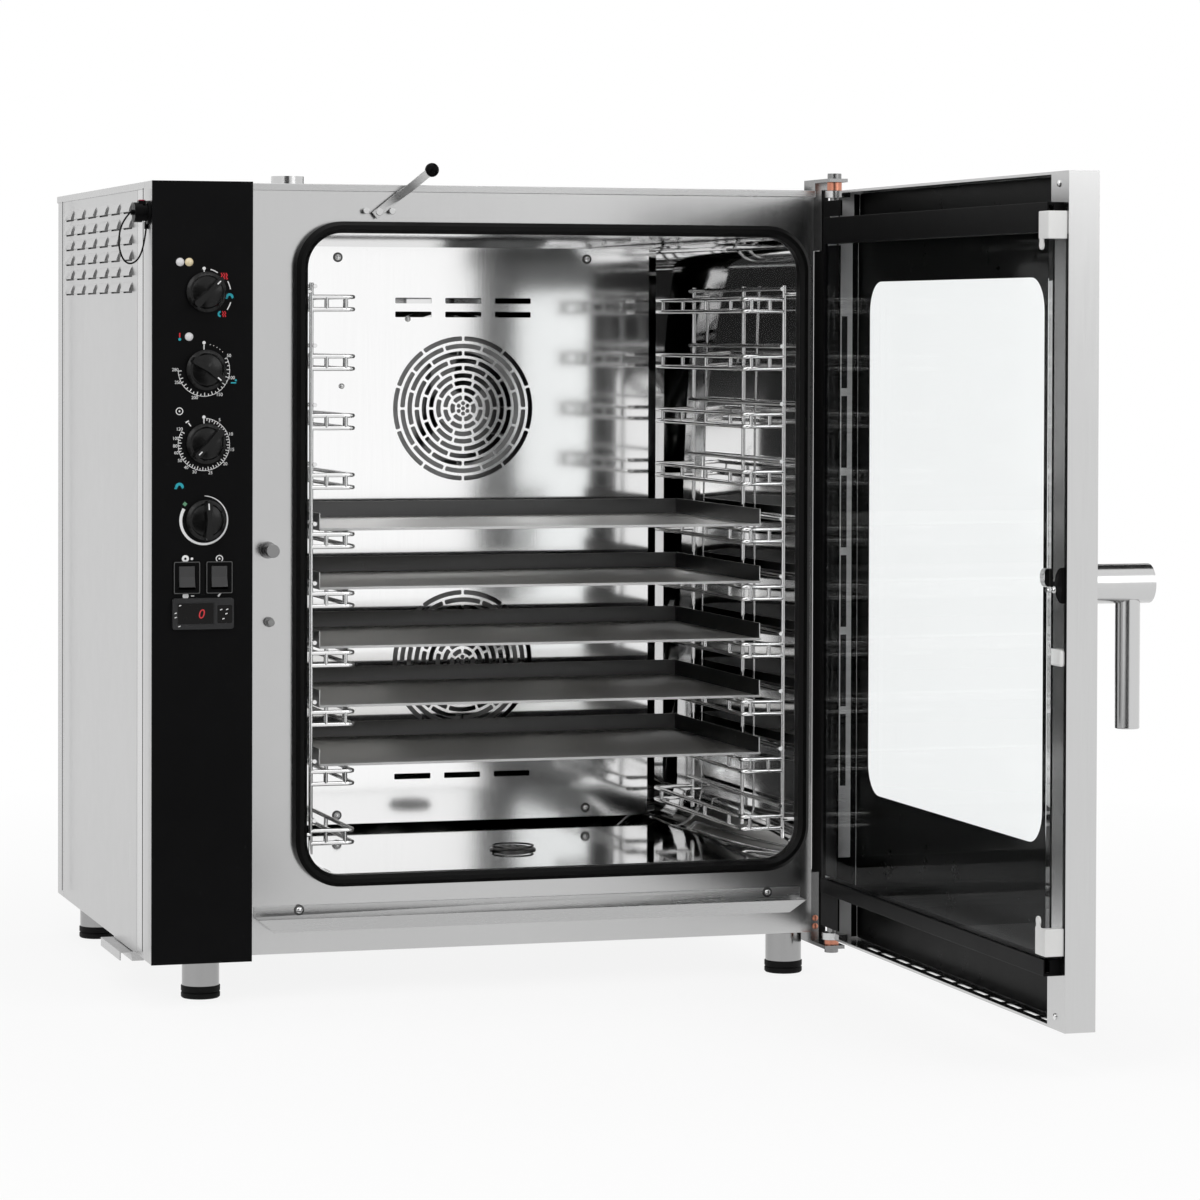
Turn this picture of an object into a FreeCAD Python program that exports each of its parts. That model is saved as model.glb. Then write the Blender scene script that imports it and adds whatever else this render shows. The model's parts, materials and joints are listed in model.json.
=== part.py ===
import FreeCAD, Part
import math
import os

import Sketcher

Vector = FreeCAD.Vector
Rotation = FreeCAD.Rotation
Placement = FreeCAD.Placement

# Driving dimensions in millimetres and degrees. Heights are above the body's base, depths are behind the
# front line of the body, and places across the oven are measured from the middle of the body.
DRIVING = {
    # casing
    "body_width": 790, "body_depth": 580, "body_height": 865, "leg_height": 48, "gauge": 1.5,
    "skirt_height": 8, "seam_front": 49, "seam_rear": 535, "seam_gap": 1.4, "pan_height": 20,
    # legs
    "foot_radius": 22, "pad_height": 14, "foot_front_depth": 24, "foot_rear_depth": 517,
    "foot_front_left": -326, "foot_front_right": 367, "foot_rear_side": 355,
    # control box
    "panel_width": 113, "panel_proud": 45, "fascia_gauge": 2, "knob_inset": 60, "knob_radius": 22.4,
    "mode_height": 742.6, "temperature_height": 656.6, "timer_height": 575.4, "steam_height": 491,
    "lamp_radius": 4.6, "lamp_inset": 31, "lamp_spacing": 10.1, "lamp_height": 775.5,
    "heat_lamp_height": 693.3,
    "switch_height": 427.5, "switch_left": 38.8, "switch_right": 75.2, "bezel_width": 29.6,
    "bezel_height": 35.6, "rocker_width": 17.6, "rocker_height": 24.4, "rocker_tilt": 8,
    "controller_inset": 56.7, "controller_width": 68.6, "controller_height": 34.4, "controller_level": 387.7,
    "spindle_radius": 3,
    # louvres of the left side
    "louvre_length": 54, "louvre_rise": 11, "louvre_proud": 4, "louvre_first_depth": 82, "louvre_span": 384,
    "louvre_columns": 6, "louvre_rows": 6, "louvre_low": 744, "louvre_pitch": 18,
    # chamber
    "cavity_width": 584, "cavity_height": 722, "cavity_depth": 500, "cavity_middle": 80, "cavity_floor": 88,
    "cavity_corner": 40, "gasket_width": 13, "gasket_proud": 16,
    "baffle_depth": 405, "baffle_half": 240, "baffle_wing": 24, "baffle_wing_depth": 45, "baffle_gap": 7,
    "fan_upper": 604.7, "fan_lower": 291.3, "grille_hole": 2.6, "grille_first": 11.4, "grille_step": 9.2,
    "grille_slot": 5.6, "grille_bridge": 3.6,
    "air_slot_length": 46, "air_slot_pitch": 63.5, "air_slot_height": 7, "air_slot_top": 734,
    "air_slot_next": 717, "air_slot_low": 148, "baffle_screw_side": 159, "baffle_screw_top": 790,
    "baffle_screw_low": 106,
    "fan_radius": 100, "fan_width": 58, "blade_count": 12, "shaft_radius": 6, "running_gap": 0.05,
    "motor_radius": 55, "motor_length": 62, "element_radius": 128, "element_section": 4.5,
    "element_depth": 452,
    # racks and trays
    "wire_radius": 2.5, "rail_top": 738.5, "rail_pitch": 67, "rail_levels": 10, "rail_gap": 14,
    "guard_rise": 12,
    "rack_post": 10, "rack_reach": 60, "rack_front": 15, "rack_back": 350, "rack_middle": 160,
    "tray_width": 530, "tray_depth": 325, "tray_height": 20, "tray_gauge": 1.2, "tray_front": 42,
    "tray_lip": 3,
    # drain and vent
    "drain_x": 76, "drain_depth": 160, "drain_radius": 20, "strainer_radius": 27.5, "outlet_height": 42,
    "vent_x": -128.7, "vent_depth": 465, "vent_radius": 20, "vent_wall": 1.5, "vent_proud": 25,
    "lever_height": 834.2, "lever_length": 76, "lever_angle": 38.9, "lever_width": 9, "ball_radius": 8,
    "stop_side": 15, "stop_radius": 3.6, "lever_shaft_radius": 4,
    # front fittings
    "catch_x": -254.7, "catch_height": 454.5, "catch_length": 29, "sensor_height": 373.7,
    "gutter_left": -270, "gutter_right": 379, "gutter_low": 27, "gutter_height": 15, "gutter_proud": 24,
    "gutter_plate": 54, "gutter_rake": 20,
    # door, opened square to the front
    "hinge_x": 405.5, "hinge_y": -34.7, "pin_radius": 5, "door_far": 681.5, "door_near": 10,
    "door_gauge": 33.5,
    "door_low": -3.5, "door_high": 863.5, "stile_free": 45, "stile_hinge": 5, "rail_flange": 12,
    "rail_lip": 3, "glass_gauge": 5, "glass_far": 669.3, "glass_near": 16, "glass_proud": 16.5,
    "glass_low": 56, "glass_high": 829, "upper_rail_low": 802, "lower_rail_high": 70,
    "handle_far": 659.3, "handle_height": 447, "boss_radius": 20, "boss_length": 65, "grip_radius": 12.5,
    "grip_offset": 42.7, "grip_length": 147,
    # core-probe socket on the control box
    "probe_depth": -30, "probe_height": 830, "probe_flange": 13, "probe_barrel": 9.5, "probe_proud": 18,
    "tether_radius": 1,
}

GRILLE_SLOTS = (6, 8, 8, 10, 12, 12, 14, 14, 20)
TRAY_LEVELS = (5, 6, 7, 8, 9)

doc = FreeCAD.newDocument("combi_oven")
sheet = doc.addObject("Spreadsheet::Sheet", "Dims")
for row, (alias, value) in enumerate(DRIVING.items(), start=1):
    sheet.set(f"A{row}", alias)
    sheet.set(f"B{row}", str(value))
    sheet.setAlias(f"B{row}", alias)
doc.recompute()


class Size:
    """A length that knows its value and the sheet expression it comes from."""

    def __init__(self, value, text):
        self.value = float(value)
        self.text = text

    def combine(self, other, sign, swap=False):
        first, second = (sized(other), self) if swap else (self, sized(other))
        values = {
            "+": first.value + second.value,
            "-": first.value - second.value,
            "*": first.value * second.value,
        }
        value = first.value / second.value if sign == "/" else values[sign]
        return Size(value, f"({first.text} {sign} {second.text})")

    def __add__(self, other):
        return self.combine(other, "+")

    def __radd__(self, other):
        return self.combine(other, "+", swap=True)

    def __sub__(self, other):
        return self.combine(other, "-")

    def __rsub__(self, other):
        return self.combine(other, "-", swap=True)

    def __mul__(self, other):
        return self.combine(other, "*")

    def __rmul__(self, other):
        return self.combine(other, "*", swap=True)

    def __truediv__(self, other):
        return self.combine(other, "/")

    def __neg__(self):
        return Size(-self.value, f"(0 - {self.text})")

    def __float__(self):
        return self.value


def sized(value):
    return value if isinstance(value, Size) else Size(value, repr(round(float(value), 6)))


class Dimensions:
    """The sheet's cells, read by their alias."""

    def __getattr__(self, alias):
        return Size(float(sheet.get(alias)), f"Dims.{alias}")


d = Dimensions()
finished = []

# Faces and lines of the casing that many pieces share
left = -d.body_width / 2
right = d.body_width / 2
base = d.leg_height
top = d.leg_height + d.body_height
side_left = left + d.gauge
side_right = right - d.gauge
panel_right = left + d.panel_width
panel_front = -d.panel_proud
frame_front = d.gauge
frame_back = 2 * d.gauge
rear_line = d.body_depth - d.gauge
cavity_left = d.cavity_middle - d.cavity_width / 2
cavity_right = d.cavity_middle + d.cavity_width / 2
cavity_low = base + d.cavity_floor
cavity_high = cavity_low + d.cavity_height
liner_back = frame_back + d.cavity_depth + d.gauge
door_out = d.hinge_x + d.door_gauge
door_free = d.hinge_y - d.door_far
door_edge = d.hinge_y - d.door_near
door_base = base + d.door_low
door_top = base + d.door_high


# Part primitives bound to the sheet
def bind(item, prop, value):
    item.setExpression(prop, sized(value).text)


def place(item, at, rotation=None):
    if rotation is not None:
        item.Placement = Placement(Vector(), rotation)
    for axis, value in zip("xyz", at):
        bind(item, f"Placement.Base.{axis}", value)
    return item


def box(name, low, high):
    item = doc.addObject("Part::Box", name)
    for prop, first, second in zip(("Length", "Width", "Height"), low, high):
        bind(item, prop, second - sized(first))
    return place(item, low)


ALONG = {
    "x": Rotation(Vector(0, 1, 0), 90),
    "-x": Rotation(Vector(0, 1, 0), -90),
    "y": Rotation(Vector(1, 0, 0), -90),
    "-y": Rotation(Vector(1, 0, 0), 90),
    "z": Rotation(),
}


def rod(name, radius, length, at, along="z"):
    item = doc.addObject("Part::Cylinder", name)
    bind(item, "Radius", radius)
    bind(item, "Height", length)
    return place(item, at, ALONG[along])


def fuse(name, *shapes):
    item = doc.addObject("Part::MultiFuse", name)
    item.Shapes = list(shapes)
    item.Refine = True
    return item


def cut(name, whole, *tools):
    item = doc.addObject("Part::Cut", name)
    item.Base = whole
    item.Tool = tools[0] if len(tools) == 1 else fuse(f"{name}_tools", *tools)
    item.Refine = True
    return item


def group(name, *shapes):
    item = doc.addObject("Part::Compound", name)
    item.Links = list(shapes)
    return item


def finish(item, label):
    item.Label = label
    finished.append(item)
    return item


def solid_feature(name, shape):
    item = doc.addObject("Part::Feature", name)
    item.Shape = shape
    item.Placement = Placement()
    return item


# PartDesign bodies with fully placed sketches
def new_body(name, at=(0, 0, 0), rotation=None):
    return place(doc.addObject("PartDesign::Body", name), at, rotation)


def origin_feature(body, role):
    return next(item for item in body.Origin.OriginFeatures if item.Role == role)


def sketch_on(body, name, role, offset=(0, 0, 0)):
    item = body.newObject("Sketcher::SketchObject", name)
    item.AttachmentSupport = (origin_feature(body, role), [""])
    item.MapMode = "FlatFace"
    for axis, value in zip("xyz", offset):
        bind(item, f"AttachmentOffset.Base.{axis}", value)
    return item


def pin_point(sketch, geometry, position, x, y):
    # A point of the sketch, held at sheet sizes from the sketch's origin
    for kind, axis, value in (("DistanceX", -2, sized(x)), ("DistanceY", -1, sized(y))):
        if value.value == 0:
            sketch.addConstraint(Sketcher.Constraint("PointOnObject", geometry, position, axis))
            continue
        rule = Sketcher.Constraint(kind, -1, 1, geometry, position, value.value)
        index = sketch.addConstraint(rule)
        bind(sketch, f"Constraints[{index}]", value)


def outline(sketch, points):
    start = sketch.GeometryCount
    count = len(points)
    spots = [Vector(float(x), float(y), 0) for x, y in points]
    for index in range(count):
        sketch.addGeometry(Part.LineSegment(spots[index], spots[(index + 1) % count]))
    for index, (x, y) in enumerate(points):
        following = start + (index + 1) % count
        sketch.addConstraint(Sketcher.Constraint("Coincident", start + index, 2, following, 1))
        pin_point(sketch, start + index, 1, x, y)
    return sketch


def rectangle(sketch, low, high):
    (x0, y0), (x1, y1) = low, high
    return outline(sketch, [(x0, y0), (x1, y0), (x1, y1), (x0, y1)])


def circle(sketch, x, y, radius):
    shape = Part.Circle(Vector(float(x), float(y), 0), Vector(0, 0, 1), float(radius))
    index = sketch.addGeometry(shape)
    pin_point(sketch, index, 3, x, y)
    rule = sketch.addConstraint(Sketcher.Constraint("Radius", index, float(radius)))
    bind(sketch, f"Constraints[{rule}]", radius)
    return sketch


def extruded(body, kind, name, sketch, length, flip=False):
    item = body.newObject(f"PartDesign::{kind}", name)
    item.Profile = sketch
    bind(item, "Length", length)
    item.Reversed = flip
    return item


def pad(body, name, sketch, length, flip=False):
    return extruded(body, "Pad", name, sketch, length, flip)


def pocket(body, name, sketch, length, flip=False):
    return extruded(body, "Pocket", name, sketch, length, flip)


def revolved(body, name, sketch):
    item = body.newObject("PartDesign::Revolution", name)
    item.Profile = sketch
    item.ReferenceAxis = (sketch, ["V_Axis"])
    item.Angle = 360
    return item


def rounded(body, name, feature, radius, chosen, kind="Fillet"):
    # Rounds or bevels the edges of the feature that the test picks
    doc.recompute()
    names = [f"Edge{i}" for i, edge in enumerate(feature.Shape.Edges, start=1) if chosen(edge)]
    item = body.newObject(f"PartDesign::{kind}", name)
    item.Base = (feature, names)
    bind(item, "Radius" if kind == "Fillet" else "Size", radius)
    return item


def row_pattern(body, name, features, role, length, count):
    item = body.newObject("PartDesign::LinearPattern", name)
    item.Originals = features
    item.Direction = (origin_feature(body, role), [""])
    bind(item, "Length", length)
    item.Occurrences = count
    body.Tip = item
    return item


def ring_pattern(body, name, feature, sketch, count):
    item = body.newObject("PartDesign::PolarPattern", name)
    item.Originals = [feature]
    item.Axis = (sketch, ["N_Axis"])
    item.Angle = 360
    item.Occurrences = count
    body.Tip = item
    return item


def runs_along(edge, axis):
    if edge.Curve.TypeId != "Part::GeomLine":
        return False
    direction = edge.tangentAt(edge.FirstParameter)
    return abs(getattr(direction, axis)) > 0.99


def corner_edge(edge, half_width, half_height, middle_x, middle_z):
    # An edge along the depth at one corner of an upright rectangle
    spot = edge.CenterOfMass
    near_side = abs(abs(spot.x - float(middle_x)) - float(half_width)) < 0.01
    near_end = abs(abs(spot.z - float(middle_z)) - float(half_height)) < 0.01
    return runs_along(edge, "y") and near_side and near_end


# Casing
def build_base_pan():
    low = (side_left + d.gauge, frame_back, base)
    high = (side_right - d.gauge, rear_line - d.gauge, base + d.pan_height)
    inner_low = (low[0] + d.gauge, low[1] + d.gauge, base + d.gauge)
    inner_high = (high[0] - d.gauge, high[1] - d.gauge, base + d.pan_height + 1)
    pan = cut("pan_sheet", box("pan_outer", low, high), box("pan_inner", inner_low, inner_high))
    finish(pan, "base_pan")


def build_front_frame():
    body = new_body("frame_body")
    sheet_front = sketch_on(body, "frame_outline", "XZ_Plane", (0, 0, -frame_front))
    rectangle(sheet_front, (side_left, base), (side_right, top - d.gauge))
    pad(body, "frame_sheet", sheet_front, d.gauge, flip=True)
    returns = sketch_on(body, "return_outline", "XZ_Plane", (0, 0, -frame_front))
    rectangle(returns, (side_left, base), (side_left + d.gauge, top - d.gauge))
    rectangle(returns, (side_right - d.gauge, base), (side_right, top - d.gauge))
    pad(body, "frame_returns", returns, d.seam_front - d.gauge, flip=True)
    mouth = sketch_on(body, "mouth_outline", "XZ_Plane", (0, 0, -frame_front))
    rectangle(mouth, (cavity_left, cavity_low), (cavity_right, cavity_high))
    opening = pocket(body, "mouth", mouth, d.gauge)
    half_width, half_height = d.cavity_width / 2, d.cavity_height / 2
    middle = cavity_low + half_height
    rounded(
        body, "mouth_corners", opening, d.cavity_corner,
        lambda edge: corner_edge(edge, half_width, half_height, d.cavity_middle, middle),
    )
    hole = sketch_on(body, "lever_hole", "XZ_Plane", (0, 0, -frame_front))
    circle(hole, d.vent_x, base + d.lever_height, d.lever_shaft_radius + d.running_gap)
    pocket(body, "lever_bore", hole, d.gauge)
    finish(body, "front_frame")


def build_left_side_panel():
    body = new_body("left_panel_body", (side_left, 0, 0))
    face = sketch_on(body, "left_panel_outline", "YZ_Plane")
    rectangle(face, (d.seam_front + d.seam_gap, base), (d.seam_rear, top - d.gauge))
    pad(body, "left_panel_sheet", face, d.gauge)
    hoods = sketch_on(body, "louvre_profile", "XZ_Plane", (0, 0, -d.louvre_first_depth))
    slits = sketch_on(body, "louvre_slits", "XZ_Plane", (0, 0, -d.louvre_first_depth))
    for row in range(int(DRIVING["louvre_rows"])):
        low = base + d.louvre_low + row * d.louvre_pitch
        outline(hoods, [
            (0, low), (0, low + d.louvre_rise), (-d.louvre_proud * 0.55, low + d.louvre_rise * 0.6),
            (-d.louvre_proud * 0.9, low + d.louvre_rise * 0.25), (-d.louvre_proud, low),
        ])
        rectangle(slits, (-d.gauge, low - d.louvre_rise / 7), (2 * d.gauge, low))
    hood = pad(body, "louvre_hoods", hoods, d.louvre_length, flip=True)
    slit = pocket(body, "louvre_openings", slits, d.louvre_length)
    row_pattern(body, "louvre_columns", [hood, slit], "Y_Axis", d.louvre_span, DRIVING["louvre_columns"])
    finish(body, "left_side_panel")


def build_right_side_panel():
    low = (side_right - d.gauge, d.seam_front + d.seam_gap, base)
    high = (side_right, d.seam_rear, top - d.gauge)
    finish(box("right_panel_sheet", low, high), "right_side_panel")


def build_rear_panel():
    body = new_body("rear_body")
    plan = sketch_on(body, "rear_plan", "XY_Plane", (0, 0, base))
    start = d.seam_rear + d.seam_gap
    outline(plan, [
        (side_left, start), (side_left, rear_line), (side_right, rear_line), (side_right, start),
        (side_right - d.gauge, start), (side_right - d.gauge, rear_line - d.gauge),
        (side_left + d.gauge, rear_line - d.gauge), (side_left + d.gauge, start),
    ])
    pad(body, "rear_sheet", plan, d.body_height - d.gauge)
    openings = sketch_on(body, "service_holes", "XZ_Plane", (0, 0, -(rear_line - 2 * d.gauge)))
    circle(openings, d.drain_x, base + d.outlet_height, d.drain_radius + d.gauge)
    circle(openings, WATER_X, base + d.outlet_height, WATER_RADIUS)
    pocket(body, "service_openings", openings, 3 * d.gauge)
    slot = sketch_on(body, "rear_slot", "XZ_Plane", (0, 0, -(rear_line - 2 * d.gauge)))
    rectangle(slot, (side_left + 30, base + 560), (side_left + 130, base + 566))
    vent = pocket(body, "rear_vent", slot, 3 * d.gauge)
    row_pattern(body, "rear_vents", [vent], "Z_Axis", 198, 12)
    finish(body, "rear_panel")


def build_top_cover():
    outer = box("cover_outer", (left, 0, top - d.skirt_height), (right, d.body_depth, top))
    inner = box(
        "cover_inner", (side_left, d.gauge, top - d.skirt_height - 1), (side_right, rear_line, top - d.gauge),
    )
    notch = box("cover_notch", (left - 1, -1, top - d.skirt_height - 1), (panel_right, d.gauge, top + 1))
    hole = rod("cover_hole", d.vent_radius + 0.5, 4 * d.gauge, (d.vent_x, d.vent_depth, top - 3 * d.gauge))
    finish(cut("cover_sheet", outer, inner, notch, hole), "top_cover")


def build_legs():
    spots = [
        (d.foot_front_left, d.foot_front_depth), (d.foot_front_right, d.foot_front_depth),
        (-d.foot_rear_side, d.foot_rear_depth), (d.foot_rear_side, d.foot_rear_depth),
    ]
    tubes = []
    pads = []
    for index, (x, y) in enumerate(spots):
        tubes.append(rod(f"leg_{index}", d.foot_radius - 1, base - d.pad_height, (x, y, d.pad_height)))
        body = new_body(f"pad_{index}", (x, y, 0))
        profile = sketch_on(body, f"pad_profile_{index}", "XZ_Plane")
        edge = d.foot_radius
        groove = d.pad_height / 2
        outline(profile, [
            (0, 0), (edge - 1.5, 0), (edge, 1.5), (edge, groove - 1), (edge - 1.2, groove - 0.4),
            (edge - 1.2, groove + 0.4), (edge, groove + 1), (edge, d.pad_height), (0, d.pad_height),
        ])
        revolved(body, f"pad_turned_{index}", profile)
        pads.append(body)
    finish(group("leg_set", *tubes), "leg_tubes")
    finish(group("pad_set", *pads), "foot_pads")


def build_tray_runner():
    # A folded runner hung under the body, its outer edge turned down beside the casing
    near, far, shelf_high = 80, 200, base - 2
    reach, under, foot = side_left - 14, shelf_high - d.gauge, base - 13
    shelf = box("runner_shelf", (reach, near, under), (side_left + 14, far, shelf_high))
    lip = box("runner_lip", (reach, near, base - 12), (reach + d.gauge, far, shelf_high))
    leg = box("runner_leg", (side_left, near, foot), (side_left + d.gauge, far, shelf_high))
    end = box("runner_end", (side_left, near, foot), (side_left + 14, near + d.gauge, shelf_high))
    tab = box("runner_tab", (side_left + d.gauge, near, under), (side_left + 28, far, base))
    finish(fuse("runner_sheet", shelf, lip, leg, end, tab), "tray_runner")


# Control box
def build_control_box():
    front = panel_front + d.fascia_gauge
    outer = box("control_outer", (left, front, base), (panel_right, frame_front, top))
    inner = box(
        "control_inner", (left + d.gauge, front - 1, base + d.gauge),
        (panel_right - d.gauge, frame_front + 1, top - d.gauge),
    )
    finish(cut("control_sheet", outer, inner), "control_box")


KNOBS = ("mode", "temperature", "timer", "steam")
KNOB_HEIGHTS = (d.mode_height, d.temperature_height, d.timer_height, d.steam_height)
POINTER_ANGLES = (45, 125, 225, 0)
ROCKER_PIN = 1.5
SWITCHES = (("left", d.switch_left), ("right", d.switch_right))
LAMPS = (
    (d.lamp_inset, d.lamp_height), (d.lamp_inset + d.lamp_spacing, d.lamp_height),
    (d.lamp_inset + d.lamp_spacing, d.heat_lamp_height),
)


def build_fascia():
    body = new_body("fascia_body")
    plane = (0, 0, -panel_front)
    face = sketch_on(body, "fascia_outline", "XZ_Plane", plane)
    rectangle(face, (left, base), (panel_right, top))
    pad(body, "fascia_sheet", face, d.fascia_gauge, flip=True)
    holes = sketch_on(body, "fascia_holes", "XZ_Plane", plane)
    for height in KNOB_HEIGHTS:
        circle(holes, left + d.knob_inset, base + height, d.spindle_radius + d.running_gap)
    windows = [(inset, d.switch_height, d.bezel_width, d.bezel_height) for _, inset in SWITCHES]
    windows.append((d.controller_inset, d.controller_level, d.controller_width, d.controller_height))
    for inset, level, width, height in windows:
        x0, z0 = left + inset - width / 2 + 2, base + level - height / 2 + 2
        rectangle(holes, (x0, z0), (x0 + width - 4, z0 + height - 4))
    pocket(body, "fascia_cutouts", holes, d.fascia_gauge)
    finish(body, "control_fascia")


def build_knob(name, height, angle):
    # Turned skirt and crown with a grip bar across it, on a spindle that runs through the fascia
    facing = Rotation(Vector(1, 0, 0), 90) * Rotation(Vector(0, 0, 1), -angle)
    body = new_body(f"{name}_body", (left + d.knob_inset, panel_front - 0.5, base + height), facing)
    profile = sketch_on(body, f"{name}_profile", "XZ_Plane")
    crown = d.knob_radius - 3.5
    outline(profile, [
        (0, -12), (d.spindle_radius, -12), (d.spindle_radius, 0), (d.knob_radius, 0), (d.knob_radius, 4),
        (crown, 5.5), (crown - 2, 8.5), (crown / 2, 10.5), (0, 11),
    ])
    revolved(body, f"{name}_turned", profile)
    bar = sketch_on(body, f"{name}_bar", "XY_Plane", (0, 0, 6))
    reach = d.knob_radius - 1
    outline(bar, [
        (-4.2, -reach + 3), (-2.5, -reach), (2.5, -reach), (4.2, -reach + 3), (2.2, 0),
        (3.6, reach - 3), (1.8, reach), (-1.8, reach), (-3.6, reach - 3), (-2.2, 0),
    ])
    pad(body, f"{name}_grip", bar, 17)
    finish(body, f"{name}_knob")


def build_switches():
    bezels = []
    for side, inset in SWITCHES:
        middle_x, middle_z = left + inset, base + d.switch_height
        half_width, half_height = d.bezel_width / 2, d.bezel_height / 2
        flange = box(
            f"{side}_flange", (middle_x - half_width, panel_front - 2.5, middle_z - half_height),
            (middle_x + half_width, panel_front, middle_z + half_height),
        )
        neck_width, neck_height = half_width - 2, half_height - 2
        neck = box(
            f"{side}_neck", (middle_x - neck_width, panel_front, middle_z - neck_height),
            (middle_x + neck_width, panel_front + 16, middle_z + neck_height),
        )
        well_width, well_height = d.rocker_width / 2 + 0.4, d.rocker_height / 2 + 0.9
        well = box(
            f"{side}_well", (middle_x - well_width, panel_front - 6, middle_z - well_height),
            (middle_x + well_width, panel_front + 14, middle_z + well_height),
        )
        pin_at = (middle_x - neck_width - 1, panel_front + 4, middle_z)
        pivot = rod(f"{side}_pivot", ROCKER_PIN + d.running_gap, 2 * neck_width + 2, pin_at, "x")
        bezels.append(cut(f"{side}_bezel", fuse(f"{side}_bezel_blank", flange, neck), well, pivot))
        build_rocker(side, middle_x, middle_z)
    finish(group("bezel_set", *bezels), "switch_bezels")


def build_rocker(side, middle_x, middle_z):
    # A shallow V-faced key that tips about a pin across its middle
    tilt = Rotation(Vector(1, 0, 0), -DRIVING["rocker_tilt"])
    body = new_body(f"{side}_rocker_body", (middle_x, panel_front + 4, middle_z), tilt)
    profile = sketch_on(body, f"{side}_rocker_profile", "YZ_Plane", (0, 0, -d.rocker_width / 2))
    reach = d.rocker_height / 2
    outline(profile, [
        (-6.4, 0), (-8.2, reach - 0.6), (1.5, reach - 1.6), (4.5, 0), (1.5, -reach + 1.6),
        (-8.2, -reach + 0.6),
    ])
    pad(body, f"{side}_rocker_block", profile, d.rocker_width)
    pin = sketch_on(body, f"{side}_pin_outline", "YZ_Plane", (0, 0, -d.rocker_width / 2 - 2.5))
    circle(pin, 0, 0, ROCKER_PIN)
    pad(body, f"{side}_pin", pin, d.rocker_width + 5)
    finish(body, f"{side}_rocker")


def build_controller():
    middle_x, middle_z = left + d.controller_inset, base + d.controller_level
    half_width, half_height = d.controller_width / 2, d.controller_height / 2
    body = new_body("controller_body", (middle_x, panel_front, middle_z))
    face = sketch_on(body, "controller_face", "XZ_Plane")
    rectangle(face, (-half_width, -half_height), (half_width, half_height))
    flange = pad(body, "controller_flange", face, 5)
    rounded(body, "controller_corners", flange, 3, lambda edge: runs_along(edge, "y"))
    window = sketch_on(body, "controller_window", "XZ_Plane", (0, 0, 5))
    rectangle(window, (-half_width + 5, -half_height + 5), (half_width - 22, half_height - 5))
    pocket(body, "controller_recess", window, 1.2)
    rear = sketch_on(body, "controller_rear", "XZ_Plane")
    rectangle(rear, (-half_width + 2.5, -half_height + 2.5), (half_width - 2.5, half_height - 2.5))
    pad(body, "controller_case", rear, 40, flip=True)
    finish(body, "controller")


def build_lamps():
    lamps = []
    for index, (inset, height) in enumerate(LAMPS):
        at = (left + inset, panel_front, base + height)
        lamps.append(rod(f"lamp_{index}", d.lamp_radius, 3, at, "-y"))
    finish(group("lamp_set", *lamps), "indicator_lamps")


TETHER_ROUTE = (
    (-20.5, 0, 1), (-31, 0, -10), (-35, 0.5, -32), (-31, 2, -50), (-22, 4, -58), (-11, 6, -52),
    (-4.5, 8, -35), (-2.2, 9, -17),
)


def build_probe_socket():
    at = (left, d.probe_depth, base + d.probe_height)
    flange = rod("probe_flange_disc", d.probe_flange, 3.5, at, "-x")
    barrel = rod("probe_barrel_tube", d.probe_barrel, 9, at, "-x")
    lug_low = (left - 4, d.probe_depth + 6.5, base + d.probe_height - 18)
    lug_high = (left, d.probe_depth + 11.5, base + d.probe_height - 10)
    lug = box("probe_lug", lug_low, lug_high)
    finish(fuse("probe_socket_whole", flange, barrel, lug), "probe_socket")
    cap_at = (left - 9, d.probe_depth, base + d.probe_height)
    cap = rod("probe_cap_disc", d.probe_barrel + 1.5, d.probe_proud - 9, cap_at, "-x")
    boss = rod("probe_cap_boss", 3, 3, (left - d.probe_proud, d.probe_depth, base + d.probe_height), "-x")
    latch_low = (left - 13, d.probe_depth - 5, base + d.probe_height + 9)
    latch_high = (left - 5, d.probe_depth + 5, base + d.probe_height + 13)
    relief = rod("probe_latch_relief", d.probe_barrel, 20, at, "-x")
    latch = cut("probe_latch", box("probe_latch_block", latch_low, latch_high), relief)
    finish(fuse("probe_cap_whole", cap, boss, latch), "probe_cap")


def polygon_ring(points, radius, sides):
    # A polygon round the start of a path, square to its first run
    direction = (points[1] - points[0]).normalize()
    side = direction.cross(Vector(0, 0, 1))
    if side.Length < 0.1:
        side = Vector(1, 0, 0)
    side.normalize()
    rise = direction.cross(side)
    rim = []
    for step in range(sides + 1):
        turn = 2 * math.pi * step / sides
        rim.append(points[0] + side * (radius * math.cos(turn)) + rise * (radius * math.sin(turn)))
    return Part.makePolygon(rim)


def polygon_wire(points, radius, sides=4):
    # A wire of polygon section along straight runs with mitred corners
    return Part.makePolygon(points).makePipeShell([polygon_ring(points, radius, sides)], True, False, 1)


def cord_path(points):
    # Straight runs joined by arcs as large as the shorter run allows
    edges = []
    start = points[0]
    radii = []
    for before, corner, after in zip(points, points[1:], points[2:]):
        come = (before - corner).normalize()
        go = (after - corner).normalize()
        half_turn = (math.pi - come.getAngle(go)) / 2
        reach = 0.45 * min((before - corner).Length, (after - corner).Length)
        radii.append(reach / math.tan(half_turn))
        first = corner + come * reach
        last = corner + go * reach
        bisector = (come + go).normalize()
        middle = corner + bisector * (radii[-1] / math.cos(half_turn) - radii[-1])
        edges.append(Part.LineSegment(start, first).toShape())
        edges.append(Part.Arc(first, middle, last).toShape())
        start = last
    edges.append(Part.LineSegment(start, points[-1]).toShape())
    return Part.Wire(edges), radii


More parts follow.
